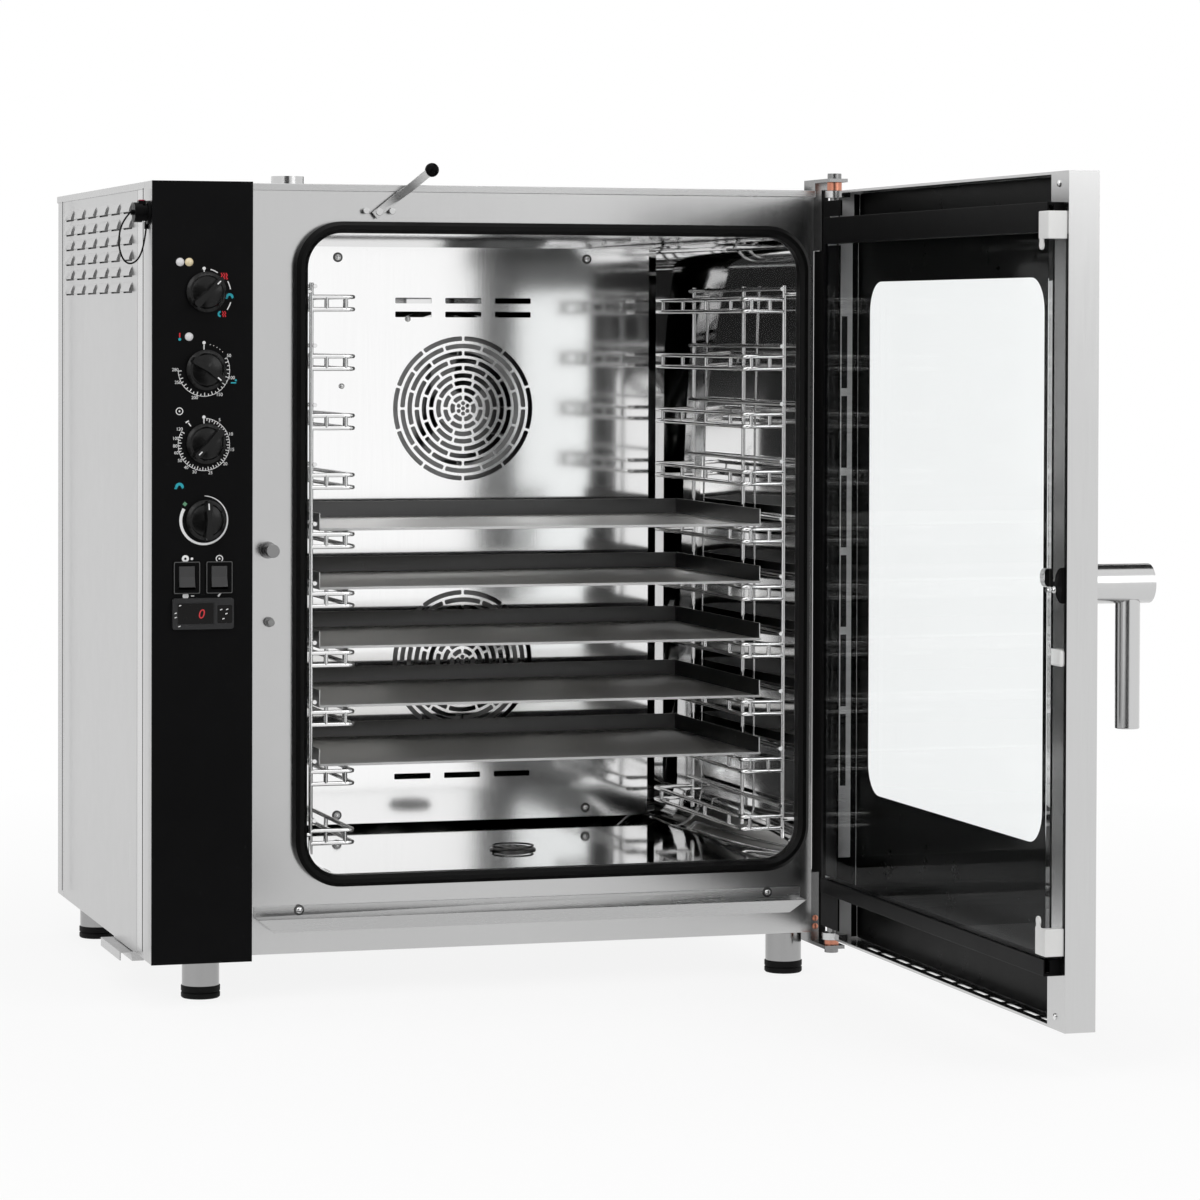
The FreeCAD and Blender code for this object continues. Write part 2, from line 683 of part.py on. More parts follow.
def build_tether():
    anchor = Vector(float(left), DRIVING["probe_depth"], float(base) + DRIVING["probe_height"])
    points = [anchor + Vector(*step) for step in TETHER_ROUTE]
    path, radii = cord_path(points)
    radius = DRIVING["tether_radius"]
    tube = path.makePipeShell([polygon_ring(points, radius, 8)], True, False)
    expected = 8 / 2 * radius ** 2 * math.sin(math.pi / 4) * path.Length
    print("tether length", round(path.Length, 1), "volume ratio", round(tube.Volume / expected, 4))
    print("tether radii", [round(value, 1) for value in radii])
    finish(solid_feature("tether_tube", tube), "cap_tether")


# Cooking chamber
def build_cavity_liner():
    body = new_body("liner_body")
    half_width, half_height = d.cavity_width / 2, d.cavity_height / 2
    middle = cavity_low + half_height
    wall = d.gauge
    shell = sketch_on(body, "liner_outline", "XZ_Plane", (0, 0, -frame_back))
    rectangle(shell, (cavity_left - wall, cavity_low - wall), (cavity_right + wall, cavity_high + wall))
    pad(body, "liner_block", shell, d.cavity_depth + wall, flip=True)
    room = sketch_on(body, "room_outline", "XZ_Plane", (0, 0, -frame_back))
    rectangle(room, (cavity_left, cavity_low), (cavity_right, cavity_high))
    hollow = pocket(body, "room", room, d.cavity_depth)
    corners = rounded(
        body, "room_corners", hollow, d.cavity_corner,
        lambda edge: corner_edge(edge, half_width, half_height, d.cavity_middle, middle),
    )
    rounded(
        body, "liner_corners", corners, d.cavity_corner + wall,
        lambda edge: corner_edge(edge, half_width + wall, half_height + wall, d.cavity_middle, middle),
    )
    shafts = sketch_on(body, "shaft_holes", "XZ_Plane", (0, 0, -(liner_back - 2 * wall)))
    for height in (d.fan_upper, d.fan_lower):
        circle(shafts, d.cavity_middle, base + height, d.shaft_radius + 3)
    pocket(body, "shaft_openings", shafts, 3 * wall)
    vent = sketch_on(body, "vent_hole", "XY_Plane", (0, 0, cavity_high - wall))
    circle(vent, d.vent_x, d.vent_depth, d.vent_radius - 1 - d.vent_wall)
    pocket(body, "vent_opening", vent, 3 * wall, flip=True)
    drain = sketch_on(body, "drain_hole", "XY_Plane", (0, 0, cavity_low + wall))
    circle(drain, d.drain_x, d.drain_depth, d.drain_radius - wall)
    pocket(body, "drain_opening", drain, 3 * wall)
    finish(body, "cavity_liner")


def build_gasket():
    body = new_body("gasket_body")
    width = d.gasket_width
    half_width, half_height = d.cavity_width / 2, d.cavity_height / 2
    middle = cavity_low + half_height
    outer = sketch_on(body, "gasket_outline", "XZ_Plane", (0, 0, -frame_front))
    rectangle(outer, (cavity_left - width, cavity_low - width), (cavity_right + width, cavity_high + width))
    pad(body, "gasket_block", outer, d.gasket_proud + frame_front)
    inner = sketch_on(body, "gasket_mouth", "XZ_Plane", (0, 0, d.gasket_proud))
    rectangle(inner, (cavity_left, cavity_low), (cavity_right, cavity_high))
    hollow = pocket(body, "gasket_opening", inner, d.gasket_proud + frame_front)
    bends = rounded(
        body, "gasket_inner_corners", hollow, d.cavity_corner,
        lambda edge: corner_edge(edge, half_width, half_height, d.cavity_middle, middle),
    )
    corners = rounded(
        body, "gasket_corners", bends, d.cavity_corner + width,
        lambda edge: corner_edge(edge, half_width + width, half_height + width, d.cavity_middle, middle),
    )
    front = -DRIVING["gasket_proud"]
    rounded(
        body, "gasket_lips", corners, d.gasket_width / 3,
        lambda edge: abs(edge.BoundBox.YMin - front) < 0.01 and edge.BoundBox.YLength < 0.01, "Chamfer",
    )
    finish(body, "door_gasket")


def ring_slot(radius, width, angle, turn):
    # A slot across part of a ring in the upright plane, with ends along the radius
    low, high = math.radians(turn - angle / 2), math.radians(turn + angle / 2)
    corners = []
    for reach, heading in ((-1, low), (1, low), (1, high), (-1, high), (-1, low)):
        arm = radius + reach * width / 2
        corners.append(Vector(arm * math.sin(heading), 0, arm * math.cos(heading)))
    return Part.Face(Part.makePolygon(corners))


def grille_cutters(name, height):
    # Rings of slots about seven round holes, with the bridges of each ring between those of the next
    faces = []
    hole = DRIVING["grille_hole"]
    for index in range(7):
        turn = math.radians(60 * index)
        reach = 0 if index == 6 else 2.45 * hole
        middle = Vector(reach * math.sin(turn), 0, reach * math.cos(turn))
        rim = [
            middle + Vector(hole * math.cos(step * math.pi / 4), 0, hole * math.sin(step * math.pi / 4))
            for step in range(9)
        ]
        faces.append(Part.Face(Part.makePolygon(rim)))
    for ring, count in enumerate(GRILLE_SLOTS):
        radius = DRIVING["grille_first"] + 1.5 + ring * DRIVING["grille_step"]
        pitch = 360 / count
        bridge = math.degrees(DRIVING["grille_bridge"] / radius)
        start = 0 if ring % 2 else pitch / 2
        for slot in range(count):
            faces.append(ring_slot(radius, DRIVING["grille_slot"], pitch - bridge, start + slot * pitch))
    item = solid_feature(name, Part.makeCompound(faces).extrude(Vector(0, 4, 0)))
    return place(item, (d.cavity_middle, d.baffle_depth - 1, base + height))


def build_fan_baffle():
    # A sheet with wings bent back on both sides, pierced by two round grilles and rows of air slots
    body = new_body("baffle_body")
    half, wing, back, wall = d.baffle_half, d.baffle_wing, d.baffle_wing_depth, d.gauge
    middle, front = d.cavity_middle, d.baffle_depth
    plan = sketch_on(body, "baffle_plan", "XY_Plane", (0, 0, cavity_low + d.baffle_gap))
    outline(plan, [
        (middle - half - wing, front + back), (middle - half, front), (middle + half, front),
        (middle + half + wing, front + back), (middle + half + wing - wall, front + back),
        (middle + half - wall, front + wall), (middle - half + wall, front + wall),
        (middle - half - wing + wall, front + back),
    ])
    pad(body, "baffle_sheet", plan, d.cavity_height - 2 * d.baffle_gap)
    slots = sketch_on(body, "air_slots", "XZ_Plane", (0, 0, -(front - 1)))
    for low in (d.air_slot_top, d.air_slot_next, d.air_slot_low):
        for column in (-1, 0, 1):
            centre = middle + column * d.air_slot_pitch
            rectangle(
                slots, (centre - d.air_slot_length / 2, base + low),
                (centre + d.air_slot_length / 2, base + low + d.air_slot_height),
            )
    pocket(body, "air_openings", slots, wall + 2)
    grilles = [grille_cutters("upper_grille", d.fan_upper), grille_cutters("lower_grille", d.fan_lower)]
    pierced = doc.addObject("Part::Cut", "baffle_pierced")
    pierced.Base = body
    pierced.Tool = group("grille_set", *grilles)
    finish(pierced, "fan_baffle")


def build_fan(name, height):
    # Back plate, hub and straight blades closed by a front ring, on its shaft
    at = (d.cavity_middle, liner_back - d.gauge - 12, base + height)
    body = new_body(f"{name}_body", at, ALONG["-y"])
    profile = sketch_on(body, f"{name}_profile", "XZ_Plane")
    outline(profile, [
        (0, -44), (d.shaft_radius, -44), (d.shaft_radius, 0), (d.fan_radius, 0), (d.fan_radius, 2),
        (22, 2), (22, 24), (0, 24),
    ])
    revolved(body, f"{name}_plate", profile)
    blade = sketch_on(body, f"{name}_blade", "XY_Plane", (0, 0, 2))
    rectangle(blade, (d.fan_radius - 34, -1), (d.fan_radius - 2, 1))
    vane = pad(body, f"{name}_vane", blade, d.fan_width)
    ring_pattern(body, f"{name}_vanes", vane, blade, DRIVING["blade_count"])
    rim = sketch_on(body, f"{name}_rim", "XY_Plane", (0, 0, d.fan_width))
    circle(rim, 0, 0, d.fan_radius)
    circle(rim, 0, 0, d.fan_radius - 30)
    body.Tip = pad(body, f"{name}_ring", rim, 2)
    finish(body, name)


def build_motors():
    motors = []
    for index, height in enumerate((d.fan_upper, d.fan_lower)):
        at = (d.cavity_middle, liner_back, base + height)
        case = rod(f"motor_case_{index}", d.motor_radius, d.motor_length, at, "y")
        bore_at = (at[0], liner_back - 1, at[2])
        bore = rod(f"motor_bore_{index}", d.shaft_radius + d.running_gap, 45, bore_at, "y")
        motors.append(cut(f"motor_{index}", case, bore))
    finish(group("motor_set", *motors), "fan_motors")


def build_elements():
    rings = []
    reach, section = DRIVING["element_radius"], DRIVING["element_section"]
    depth, wall = DRIVING["element_depth"], float(liner_back) - DRIVING["gauge"]
    for height in (DRIVING["fan_upper"], DRIVING["fan_lower"]):
        middle = Vector(DRIVING["cavity_middle"], depth, float(base) + height)
        corners = [
            middle + Vector(reach - section + section * math.cos(turn), section * math.sin(turn), 0)
            for turn in (math.pi * step / 3 for step in range(7))
        ]
        ring = Part.Face(Part.makePolygon(corners)).revolve(middle, Vector(0, 1, 0), 360)
        legs = []
        for side in (-40, 40):
            start = middle + Vector(side, 0, -math.sqrt((reach - section) ** 2 - side ** 2))
            legs.append(polygon_wire([start, Vector(start.x, wall, start.z)], section, 6))
        rings.append(ring.multiFuse(legs).removeSplitter())
    finish(solid_feature("element_set", Part.makeCompound(rings)), "heating_elements")


def build_rack(name, wall_x, inward):
    # Posts on the chamber wall carry one guard wire and a pair of looped rails at each level
    radius = DRIVING["wire_radius"]
    post = float(wall_x) + inward * DRIVING["rack_post"]
    reach = float(wall_x) + inward * DRIVING["rack_reach"]
    front, back = DRIVING["rack_front"], DRIVING["rack_back"]
    guard = post + inward * 1.5 * radius
    high = float(base) + DRIVING["rail_top"]
    low = high - DRIVING["rail_pitch"] * (DRIVING["rail_levels"] - 1) - DRIVING["rail_gap"]
    rise = DRIVING["guard_rise"]
    wires = []
    for depth in (front, DRIVING["rack_middle"], back):
        upright = [Vector(post, depth, low - 12), Vector(post, depth, high + rise + 4)]
        wires.append(polygon_wire(upright, radius * 1.2))
    for depth in (front, back):
        for height in (low + 10, high + 6):
            wires.append(polygon_wire([Vector(wall_x, depth, height), Vector(post, depth, height)], radius))
    for level in range(DRIVING["rail_levels"]):
        rail = high - level * DRIVING["rail_pitch"]
        for height in (rail, rail - DRIVING["rail_gap"]):
            wires.append(polygon_wire([
                Vector(post, front, height), Vector(reach, front, height),
                Vector(reach, back, height), Vector(post, back, height),
            ], radius))
        stop = [Vector(guard, front - 4, rail + rise), Vector(guard, back + 4, rail + rise)]
        wires.append(polygon_wire(stop, radius))
        for depth in (62, 192, 322):
            wires.append(polygon_wire([
                Vector(reach, depth, rail), Vector(reach, depth, rail - DRIVING["rail_gap"]),
            ], radius * 0.8))
    rack = wires[0].multiFuse(wires[1:]).removeSplitter()
    finish(solid_feature(f"{name}_wires", rack), name)


def build_trays():
    for number, level in enumerate(TRAY_LEVELS, start=1):
        name = f"baking_tray_{number}"
        rest = base + d.rail_top - (level - 1) * d.rail_pitch + d.wire_radius
        body = new_body(f"{name}_body", (d.cavity_middle - d.tray_width / 2, d.tray_front, rest))
        wall, lip = d.tray_gauge, d.tray_lip
        run = sketch_on(body, f"{name}_run", "YZ_Plane")
        outline(run, [
            (lip, 0), (d.tray_depth, 0), (d.tray_depth, d.tray_height), (d.tray_depth - wall, d.tray_height),
            (d.tray_depth - wall, wall), (lip + wall / 2, wall), (wall * 0.8, lip), (0, lip),
        ])
        pad(body, f"{name}_sheet", run, d.tray_width)
        cheeks = sketch_on(body, f"{name}_cheeks", "XY_Plane")
        rectangle(cheeks, (0, lip + 2), (wall, d.tray_depth))
        rectangle(cheeks, (d.tray_width - wall, lip + 2), (d.tray_width, d.tray_depth))
        pad(body, f"{name}_walls", cheeks, d.tray_height)
        finish(body, name)


def build_drain():
    body = new_body("strainer_body", (d.drain_x, d.drain_depth, cavity_low))
    profile = sketch_on(body, "strainer_profile", "XZ_Plane")
    outline(profile, [
        (0, 0), (d.strainer_radius, 0), (d.strainer_radius, 1.5), (d.drain_radius - 2, 4), (0, 4),
    ])
    revolved(body, "strainer_dish", profile)
    hole = sketch_on(body, "strainer_hole", "XY_Plane", (0, 0, 6))
    rectangle(hole, (-1.5, 5), (1.5, d.drain_radius - 6))
    bore = pocket(body, "strainer_slot", hole, 8)
    ring_pattern(body, "strainer_slots", bore, hole, 8)
    finish(body, "drain_strainer")
    outlet = base + d.outlet_height
    wide, slim = d.drain_radius + 2, d.drain_radius - 1
    sump_low = outlet - wide
    drop = rod("drain_drop", wide, cavity_low - d.gauge - sump_low, (d.drain_x, d.drain_depth, sump_low))
    run = rod("drain_run", slim, d.body_depth + 25 - d.drain_depth, (d.drain_x, d.drain_depth, outlet), "y")
    tail = rod("drain_tail", d.drain_radius, 23, (d.drain_x, d.body_depth + 2, outlet), "y")
    drop_at = (d.drain_x, d.drain_depth, sump_low + d.gauge)
    drop_bore = rod("drop_bore", wide - d.gauge, cavity_low - sump_low, drop_at)
    run_at = (d.drain_x, d.drain_depth, outlet)
    run_bore = rod("run_bore", slim - d.gauge, d.body_depth + 30 - d.drain_depth, run_at, "y")
    finish(cut("drain_tube", fuse("drain_blank", drop, run, tail), drop_bore, run_bore), "drain_pipe")


WATER_X = -330
WATER_RADIUS = 14


def build_services():
    height = base + d.outlet_height
    stub = rod("water_stub", 12, 40, (WATER_X, rear_line - 22, height), "y")
    union = rod("water_union", 13.2, 15, (WATER_X, rear_line + 8, height), "y")
    nut = rod("water_nut", 19, 6, (WATER_X, rear_line, height), "y")
    valve_low = (WATER_X - 22, rear_line - 62, height - 20)
    valve = box("water_valve", valve_low, (WATER_X + 22, rear_line - 20, height + 24))
    finish(fuse("water_whole", stub, union, nut, valve), "water_inlet")


# Vent
def build_vent():
    foot = cavity_high + d.gauge
    height = top + d.vent_proud - foot
    at = (d.vent_x, d.vent_depth, foot)
    lever_z = base + d.lever_height
    slim = d.vent_radius - 1
    stem = rod("vent_stem", slim, height, at)
    spigot = rod("vent_spigot", d.vent_radius, d.vent_proud - 2, (d.vent_x, d.vent_depth, top + 2))
    inner = rod("vent_inner", slim - d.vent_wall, height + 1, at)
    cross_at = (d.vent_x, d.vent_depth - 30, lever_z)
    cross = rod("vent_cross", d.lever_shaft_radius + d.running_gap, 60, cross_at, "y")
    finish(cut("vent_tube", fuse("vent_blank", stem, spigot), inner, cross), "vent_pipe")
    shaft = rod("damper_rod", d.lever_shaft_radius, d.vent_depth + 30, (d.vent_x, -8, lever_z), "y")
    disc = rod("damper_disc", slim - d.vent_wall - 1, 2, (d.vent_x - 1, d.vent_depth, lever_z), "x")
    finish(fuse("damper_whole", shaft, disc), "vent_damper")


def build_lever():
    # A flat bar on the damper shaft, cranked forward to carry a ball
    tilt = Rotation(Vector(0, 1, 0), -DRIVING["lever_angle"])
    body = new_body("lever_body", (d.vent_x, 0, base + d.lever_height), tilt)
    plan = sketch_on(body, "lever_plan", "XY_Plane", (0, 0, -d.lever_width / 2))
    far = d.lever_length - d.ball_radius / 2
    outline(plan, [
        (-7, -4), (-7, -7), (26, -7), (44, -15), (far, -15), (far, -12), (45, -12), (27, -4),
    ])
    pad(body, "lever_bar", plan, d.lever_width)
    eye = sketch_on(body, "lever_eye", "XZ_Plane", (0, 0, 2))
    circle(eye, 0, 0, d.lever_shaft_radius)
    pocket(body, "lever_bore_hole", eye, 14, flip=True)
    finish(body, "vent_lever")
    angle = math.radians(DRIVING["lever_angle"])
    ball_at = (
        d.vent_x + d.lever_length * math.cos(angle), -13.5,
        base + d.lever_height + d.lever_length * math.sin(angle),
    )
    turned = new_body("lever_ball_body", ball_at)
    profile = sketch_on(turned, "lever_ball_profile", "XZ_Plane")
    quarters = [math.radians(angle) for angle in (-65, -35, 0, 35, 65)]
    rim = [(d.ball_radius * math.cos(turn), d.ball_radius * math.sin(turn)) for turn in quarters]
    outline(profile, [(0, -d.ball_radius), *rim, (0, d.ball_radius)])
    revolved(turned, "lever_ball_turned", profile)
    finish(cut("lever_ball_bored", turned, body), "lever_ball")


def build_lever_stops():
    stops = []
    for index, side in enumerate((-1, 1)):
        at = (d.vent_x + side * d.stop_side, frame_front, base + d.lever_height + 1)
        stops.append(rod(f"lever_stop_{index}", d.stop_radius, 9, at, "-y"))
    finish(group("stop_set", *stops), "lever_stops")


# Fittings on the front frame
def build_front_fittings():
    catch_z = base + d.catch_height
    plate = rod("catch_plate", 9.5, 3, (d.catch_x, frame_front, catch_z), "-y")
    neck = rod("catch_neck", 5.5, d.catch_length - 9, (d.catch_x, frame_front, catch_z), "-y")
    head = rod("catch_head", 7.5, 9, (d.catch_x, frame_front - d.catch_length + 9, catch_z), "-y")
    finish(fuse("catch_whole", plate, neck, head), "catch_pin")
    sensor_z = base + d.sensor_height
    collar = rod("sensor_collar", 5.5, 5, (d.catch_x + 1.3, frame_front, sensor_z), "-y")
    tip = rod("sensor_tip", 4, 9, (d.catch_x + 1.3, frame_front - 5, sensor_z), "-y")
    finish(fuse("sensor_whole", collar, tip), "door_sensor")


def raked_trough(name, inset):
    """The gutter's trough as a solid, drawn in by inset on every side but the open top."""
    body = new_body(f"{name}_body", (d.gutter_left, 0, 0))
    low, high = base + d.gutter_low, base + d.gutter_low + d.gutter_height
    back, proud, length = frame_front - inset, d.gutter_proud, d.gutter_right - d.gutter_left
    profile = sketch_on(body, f"{name}_profile", "YZ_Plane")
    foot, lip = low + inset, high + inset
    outline(profile, [(back, foot), (back, lip), (-proud + inset, lip), (-proud + 6 + inset, foot)])
    pad(body, f"{name}_run", profile, length)
    rakes = sketch_on(body, f"{name}_rakes", "XZ_Plane", (0, 0, -(frame_front + 1)))
    near, far = inset, length - inset
    under, over, rake = low - 1, high + 3, d.gutter_rake
    outline(rakes, [(-1, under), (near + rake, under), (near, high), (near, over), (-1, over)])
    outline(rakes, [(length + 1, under), (length + 1, over), (far, over), (far, high), (far - rake, under)])
    pocket(body, f"{name}_ends", rakes, proud + 4, flip=True)
    return body


def build_gutter():
    # A trough with raked ends under the door, hung on a plate that is screwed to the frame
    outer, inner = raked_trough("gutter_outer", 0 * d.gauge), raked_trough("gutter_inner", d.gauge)
    trough = cut("gutter_trough", outer, inner)
    low = (d.gutter_left, frame_front - d.gauge, base + d.gutter_low + d.gutter_height - 1)
    plate = box("gutter_back", low, (d.gutter_right, frame_front, base + d.gutter_plate))
    finish(fuse("gutter_whole", trough, plate), "drip_gutter")


# Door, standing open square to the front
def build_hinges():
    # Each bracket is a leg on the right side of the body that carries a plate with the pin
    x, y = d.hinge_x, d.hinge_y
    plate_low = door_top + 10
    plate = box("top_plate", (right, y - 12, plate_low), (x + 12, 40, plate_low + 4))
    leg = box("top_leg", (right, 2, top - 70), (right + 8, 40, plate_low))
    heel = box("top_heel", (side_right, 2, top - 70), (right, 40, top - d.skirt_height - 0.5))
    web = box("top_web", (right, 2, top + 0.5), (x + 8, 6, plate_low))
    pin = rod("top_pin", d.pin_radius, 34, (x, y, plate_low - 24))
    head = rod("top_head", 8, 6, (x, y, plate_low + 4))
    upper = fuse("top_bracket", plate, leg, heel, web, pin, head)
    low_high = door_base - 6
    low_leg = box("low_leg", (side_right, 2, low_high - 4), (right + 8, 40, base + 70))
    shelf = box("low_shelf", (side_right, y - 12, low_high - 4), (x + 12, 40, low_high))
    low_pin = rod("low_pin", d.pin_radius, 30, (x, y, low_high - 4))
    low_head = rod("low_head", 8, 5, (x, y, low_high - 9))
    lower = fuse("low_bracket", low_leg, shelf, low_pin, low_head)
    finish(group("bracket_set", upper, lower), "hinge_brackets")
    bushes = []
    for name, start, height in (("top_bush", door_top + 0.3, 9.7), ("low_bush", low_high, 5.7)):
        sleeve = rod(f"{name}_sleeve", 8.5, height, (x, y, start))
        bore = rod(f"{name}_bore", d.pin_radius, height + 2, (x, y, start - 1))
        bushes.append(cut(name, sleeve, bore))
    finish(group("bush_set", *bushes), "hinge_bushes")


def build_door_flap():
    """A folded flap that closes the gap on the hinge side, notched where the glass rails pass."""
    face, back = d.hinge_x - 9.5, d.hinge_x - 7.5
    flap_low, flap_high = base + 12, base + 852
    sheet_low = (face, door_edge - 37, flap_low)
    flap = box("flap_sheet", sheet_low, (back, door_edge + 20, flap_high))
    notches = []
    rails = (
        ("low", d.glass_low - 5, d.lower_rail_high + 2), ("top", d.upper_rail_low - 2, d.glass_high + 5),
    )
    for name, low, high in rails:
        notch_low = (face - 1, door_edge - 44, base + low)
        notches.append(box(f"flap_notch_{name}", notch_low, (back + 1, door_edge - d.gauge, base + high)))
    fold_high = (d.hinge_x + d.gauge, door_edge, flap_high)
    fold = box("flap_fold", (face, door_edge - d.gauge, flap_low), fold_high)
    return fuse("door_flap", cut("flap_notched", flap, *notches), fold)


def build_door_frame():
    wall = d.gauge
    shell = box("door_outer", (d.hinge_x, door_free, door_base), (door_out, door_edge, door_top))
    hollow = box(
        "door_hollow", (d.hinge_x + wall, door_free + wall, door_base + wall),
        (door_out - wall, door_edge - wall, door_top - wall),
    )
    inner_mouth = box(
        "door_inner_mouth", (d.hinge_x - 1, door_free + d.stile_free, door_base + d.rail_lip),
        (d.hinge_x + 3, door_edge - d.stile_hinge, door_top - d.rail_lip),
    )
    outer_mouth = box(
        "door_outer_mouth", (door_out - 3, door_free + d.stile_free, door_base + d.rail_flange),
        (door_out + 1, door_edge - d.rail_flange, door_top - d.rail_flange),
    )
    spindle_at = (door_out - 4, HANDLE_Y, base + d.handle_height)
    spindle = rod("door_spindle_hole", d.pin_radius + d.running_gap, 6, spindle_at, "x")
    tools = [hollow, inner_mouth, outer_mouth, spindle]
    for index in range(6):
        low = base + 175.7 + index * 92
        slot_low = (d.hinge_x + 7, door_edge - 3, low)
        tools.append(box(f"edge_slot_{index}", slot_low, (d.hinge_x + 14, door_edge + 1, low + 83)))
    for index in range(12):
        near = door_free + 58 + index * 46
        slot_low = (d.hinge_x + 12, near, door_base - 1)
        tools.append(box(f"foot_slot_{index}", slot_low, (d.hinge_x + 17, near + 32, door_base + 3)))
    folded = cut("door_sheet", shell, *tools)
    ears = []
    for name, low in (("top_ear", door_top - 8), ("low_ear", door_base)):
        knuckle = rod(f"{name}_knuckle", 11, 8, (d.hinge_x, d.hinge_y, low))
        arm = box(f"{name}_arm", (d.hinge_x, door_edge - 14, low), (d.hinge_x + 11, d.hinge_y, low + 8))
        ears.extend((knuckle, arm))
    joined = fuse("door_joined", folded, build_door_flap(), *ears)
    bores = [
        rod(f"ear_bore_{index}", d.pin_radius + d.running_gap, 30, (d.hinge_x, d.hinge_y, low - 11))
        for index, low in enumerate((door_top - 8, door_base))
    ]
    finish(cut("door_whole", joined, *bores), "door_frame")


HANDLE_Y = d.hinge_y - d.handle_far


def build_glass():
    lap = 9
    inner_x = door_out - d.gauge - d.glass_gauge
    low = (inner_x, door_free + d.stile_free - lap, door_base + d.rail_flange - lap)
    high = (door_out - d.gauge, door_edge - d.rail_flange + lap, door_top - d.rail_flange + lap)
    finish(box("outer_pane", low, high), "outer_glass")
    pane_x = d.hinge_x - d.glass_proud
    far, near = d.hinge_y - d.glass_far, d.hinge_y - d.glass_near
    pane_low = (pane_x, far, base + d.glass_low)
    pane_high = (pane_x + d.glass_gauge, near, base + d.glass_high)
    pane = box("inner_pane", pane_low, pane_high)
    # A slot in the free edge lets the catch pin through to the latch
    slot_z = base + d.catch_height
    slot = box("pane_slot", (pane_x - 1, far - 1, slot_z - 9), (pane_x + 6, far + 10, slot_z + 9))
    slot_end = rod("pane_slot_end", 9, 7, (pane_x - 1, far + 10, slot_z), "x")
    finish(cut("inner_pane_slotted", pane, slot, slot_end), "inner_glass")
    rails = (
        ("upper_glass_rail", base + d.upper_rail_low, base + d.glass_high + 3),
        ("lower_glass_rail", base + d.glass_low - 3, base + d.lower_rail_high),
    )
    for name, start, end in rails:
        butt = door_edge - d.gauge
        channel = box(f"{name}_block", (pane_x - 1.5, far, start), (d.hinge_x, butt, end))
        groove_low = (pane_x, far - 1, base + d.glass_low)
        groove = box(f"{name}_groove", groove_low, (pane_x + d.glass_gauge, butt + 1, base + d.glass_high))
        finish(cut(f"{name}_channel", channel, groove), name)


def build_door_fittings():
    far = d.hinge_y - d.glass_far
    clips = []
    for name, low, knob_height, neck_low in (("top_clip", 795, -6, -6), ("low_clip", 74, 34, 27)):
        face, back, start = d.hinge_x - 21, d.hinge_x - 18.3, base + low
        block = box(f"{name}_block", (face, far - 10, start), (d.hinge_x, far - 0.3, start + 28))
        lip = box(f"{name}_lip", (face, far - 10, start), (back, far + 16, start + 28))
        knob = rod(f"{name}_knob", 5, 2.7, (face, far + 10, start + knob_height), "x")
        neck = box(f"{name}_neck", (face, far + 6, start + neck_low), (back, far + 14, start + neck_low + 7))
        clips.append(fuse(name, block, lip, knob, neck))
    finish(group("clip_set", *clips), "glass_clips")
    magnet_low = (d.hinge_x - 6, door_free + 2, base + d.sensor_height - 8.5)
    magnet_high = (d.hinge_x, door_free + 34, base + d.sensor_height + 8.5)
    finish(box("magnet_block", magnet_low, magnet_high), "door_magnet")
    disc = rod("latch_disc", 18, 4.5, (d.hinge_x - 4.5, door_free + 3, base + d.handle_height), "x")
    keep = box(
        "latch_keep", (d.hinge_x - 10, door_free + 3, base + d.handle_height - 20),
        (d.hinge_x, door_free + 30, base + d.handle_height + 20),
    )
    half = doc.addObject("Part::Common", "latch_half")
    half.Base = disc
    half.Tool = keep
    tongue = box(
        "latch_tongue", (d.hinge_x - 3, door_free + 18, base + d.handle_height - 3),
        (d.hinge_x, door_free + 30, base + d.handle_height + 3),
    )
    finish(fuse("latch_whole", half, tongue), "latch_housing")


def build_handle():
    axis = (HANDLE_Y, base + d.handle_height)
    boss = rod("boss_turned", d.boss_radius, d.boss_length, (door_out + 0.3, *axis), "x")
    spindle = rod("boss_spindle", d.pin_radius, 28, (door_out - 27, *axis), "x")
    cam = rod("boss_cam", 14, 6, (door_out - 27, *axis), "x")
    grip_x = door_out + d.grip_offset
    grip = rod("grip_bar", d.grip_radius, d.grip_length, (grip_x, axis[0], axis[1] - d.grip_length))
    socket = rod("grip_socket", d.grip_radius, d.grip_length, (grip_x, axis[0], axis[1] - d.grip_length))
    finish(cut("boss_whole", fuse("boss_blank", boss, spindle, cam), socket), "handle_boss")
    finish(grip, "handle_grip")


build_base_pan()
build_front_frame()
build_left_side_panel()
build_right_side_panel()
build_rear_panel()
build_top_cover()
build_legs()
build_tray_runner()
build_control_box()
build_fascia()
for knob, knob_level, pointer in zip(KNOBS, KNOB_HEIGHTS, POINTER_ANGLES):
    build_knob(knob, knob_level, pointer)
build_switches()
build_controller()
build_lamps()
build_probe_socket()
build_tether()
build_cavity_liner()
build_gasket()
build_fan_baffle()
build_fan("upper_fan", d.fan_upper)
build_fan("lower_fan", d.fan_lower)
build_motors()
build_elements()
build_rack("left_rack", cavity_left, 1)
build_rack("right_rack", cavity_right, -1)
build_trays()
build_drain()
build_services()
build_vent()
build_lever()
build_lever_stops()
build_front_fittings()
build_gutter()
build_hinges()
build_door_frame()
build_glass()
build_door_fittings()
build_handle()
doc.recompute()

# Nothing is written unless every feature computed and every sub-part is a valid solid
faults = [item.Name for item in doc.Objects if "Invalid" in item.State or "Error" in item.State]
for item in finished:
    if item.Shape.isNull() or not item.Shape.isValid() or not item.Shape.Solids:
        faults.append(item.Label)
if faults:
    raise RuntimeError(f"not computed or not valid: {faults}")
os.makedirs("parts", exist_ok=True)
for item in finished:
    item.Shape.exportStep(f"parts/{item.Label}.step")
print(len(finished), "sub-parts written")
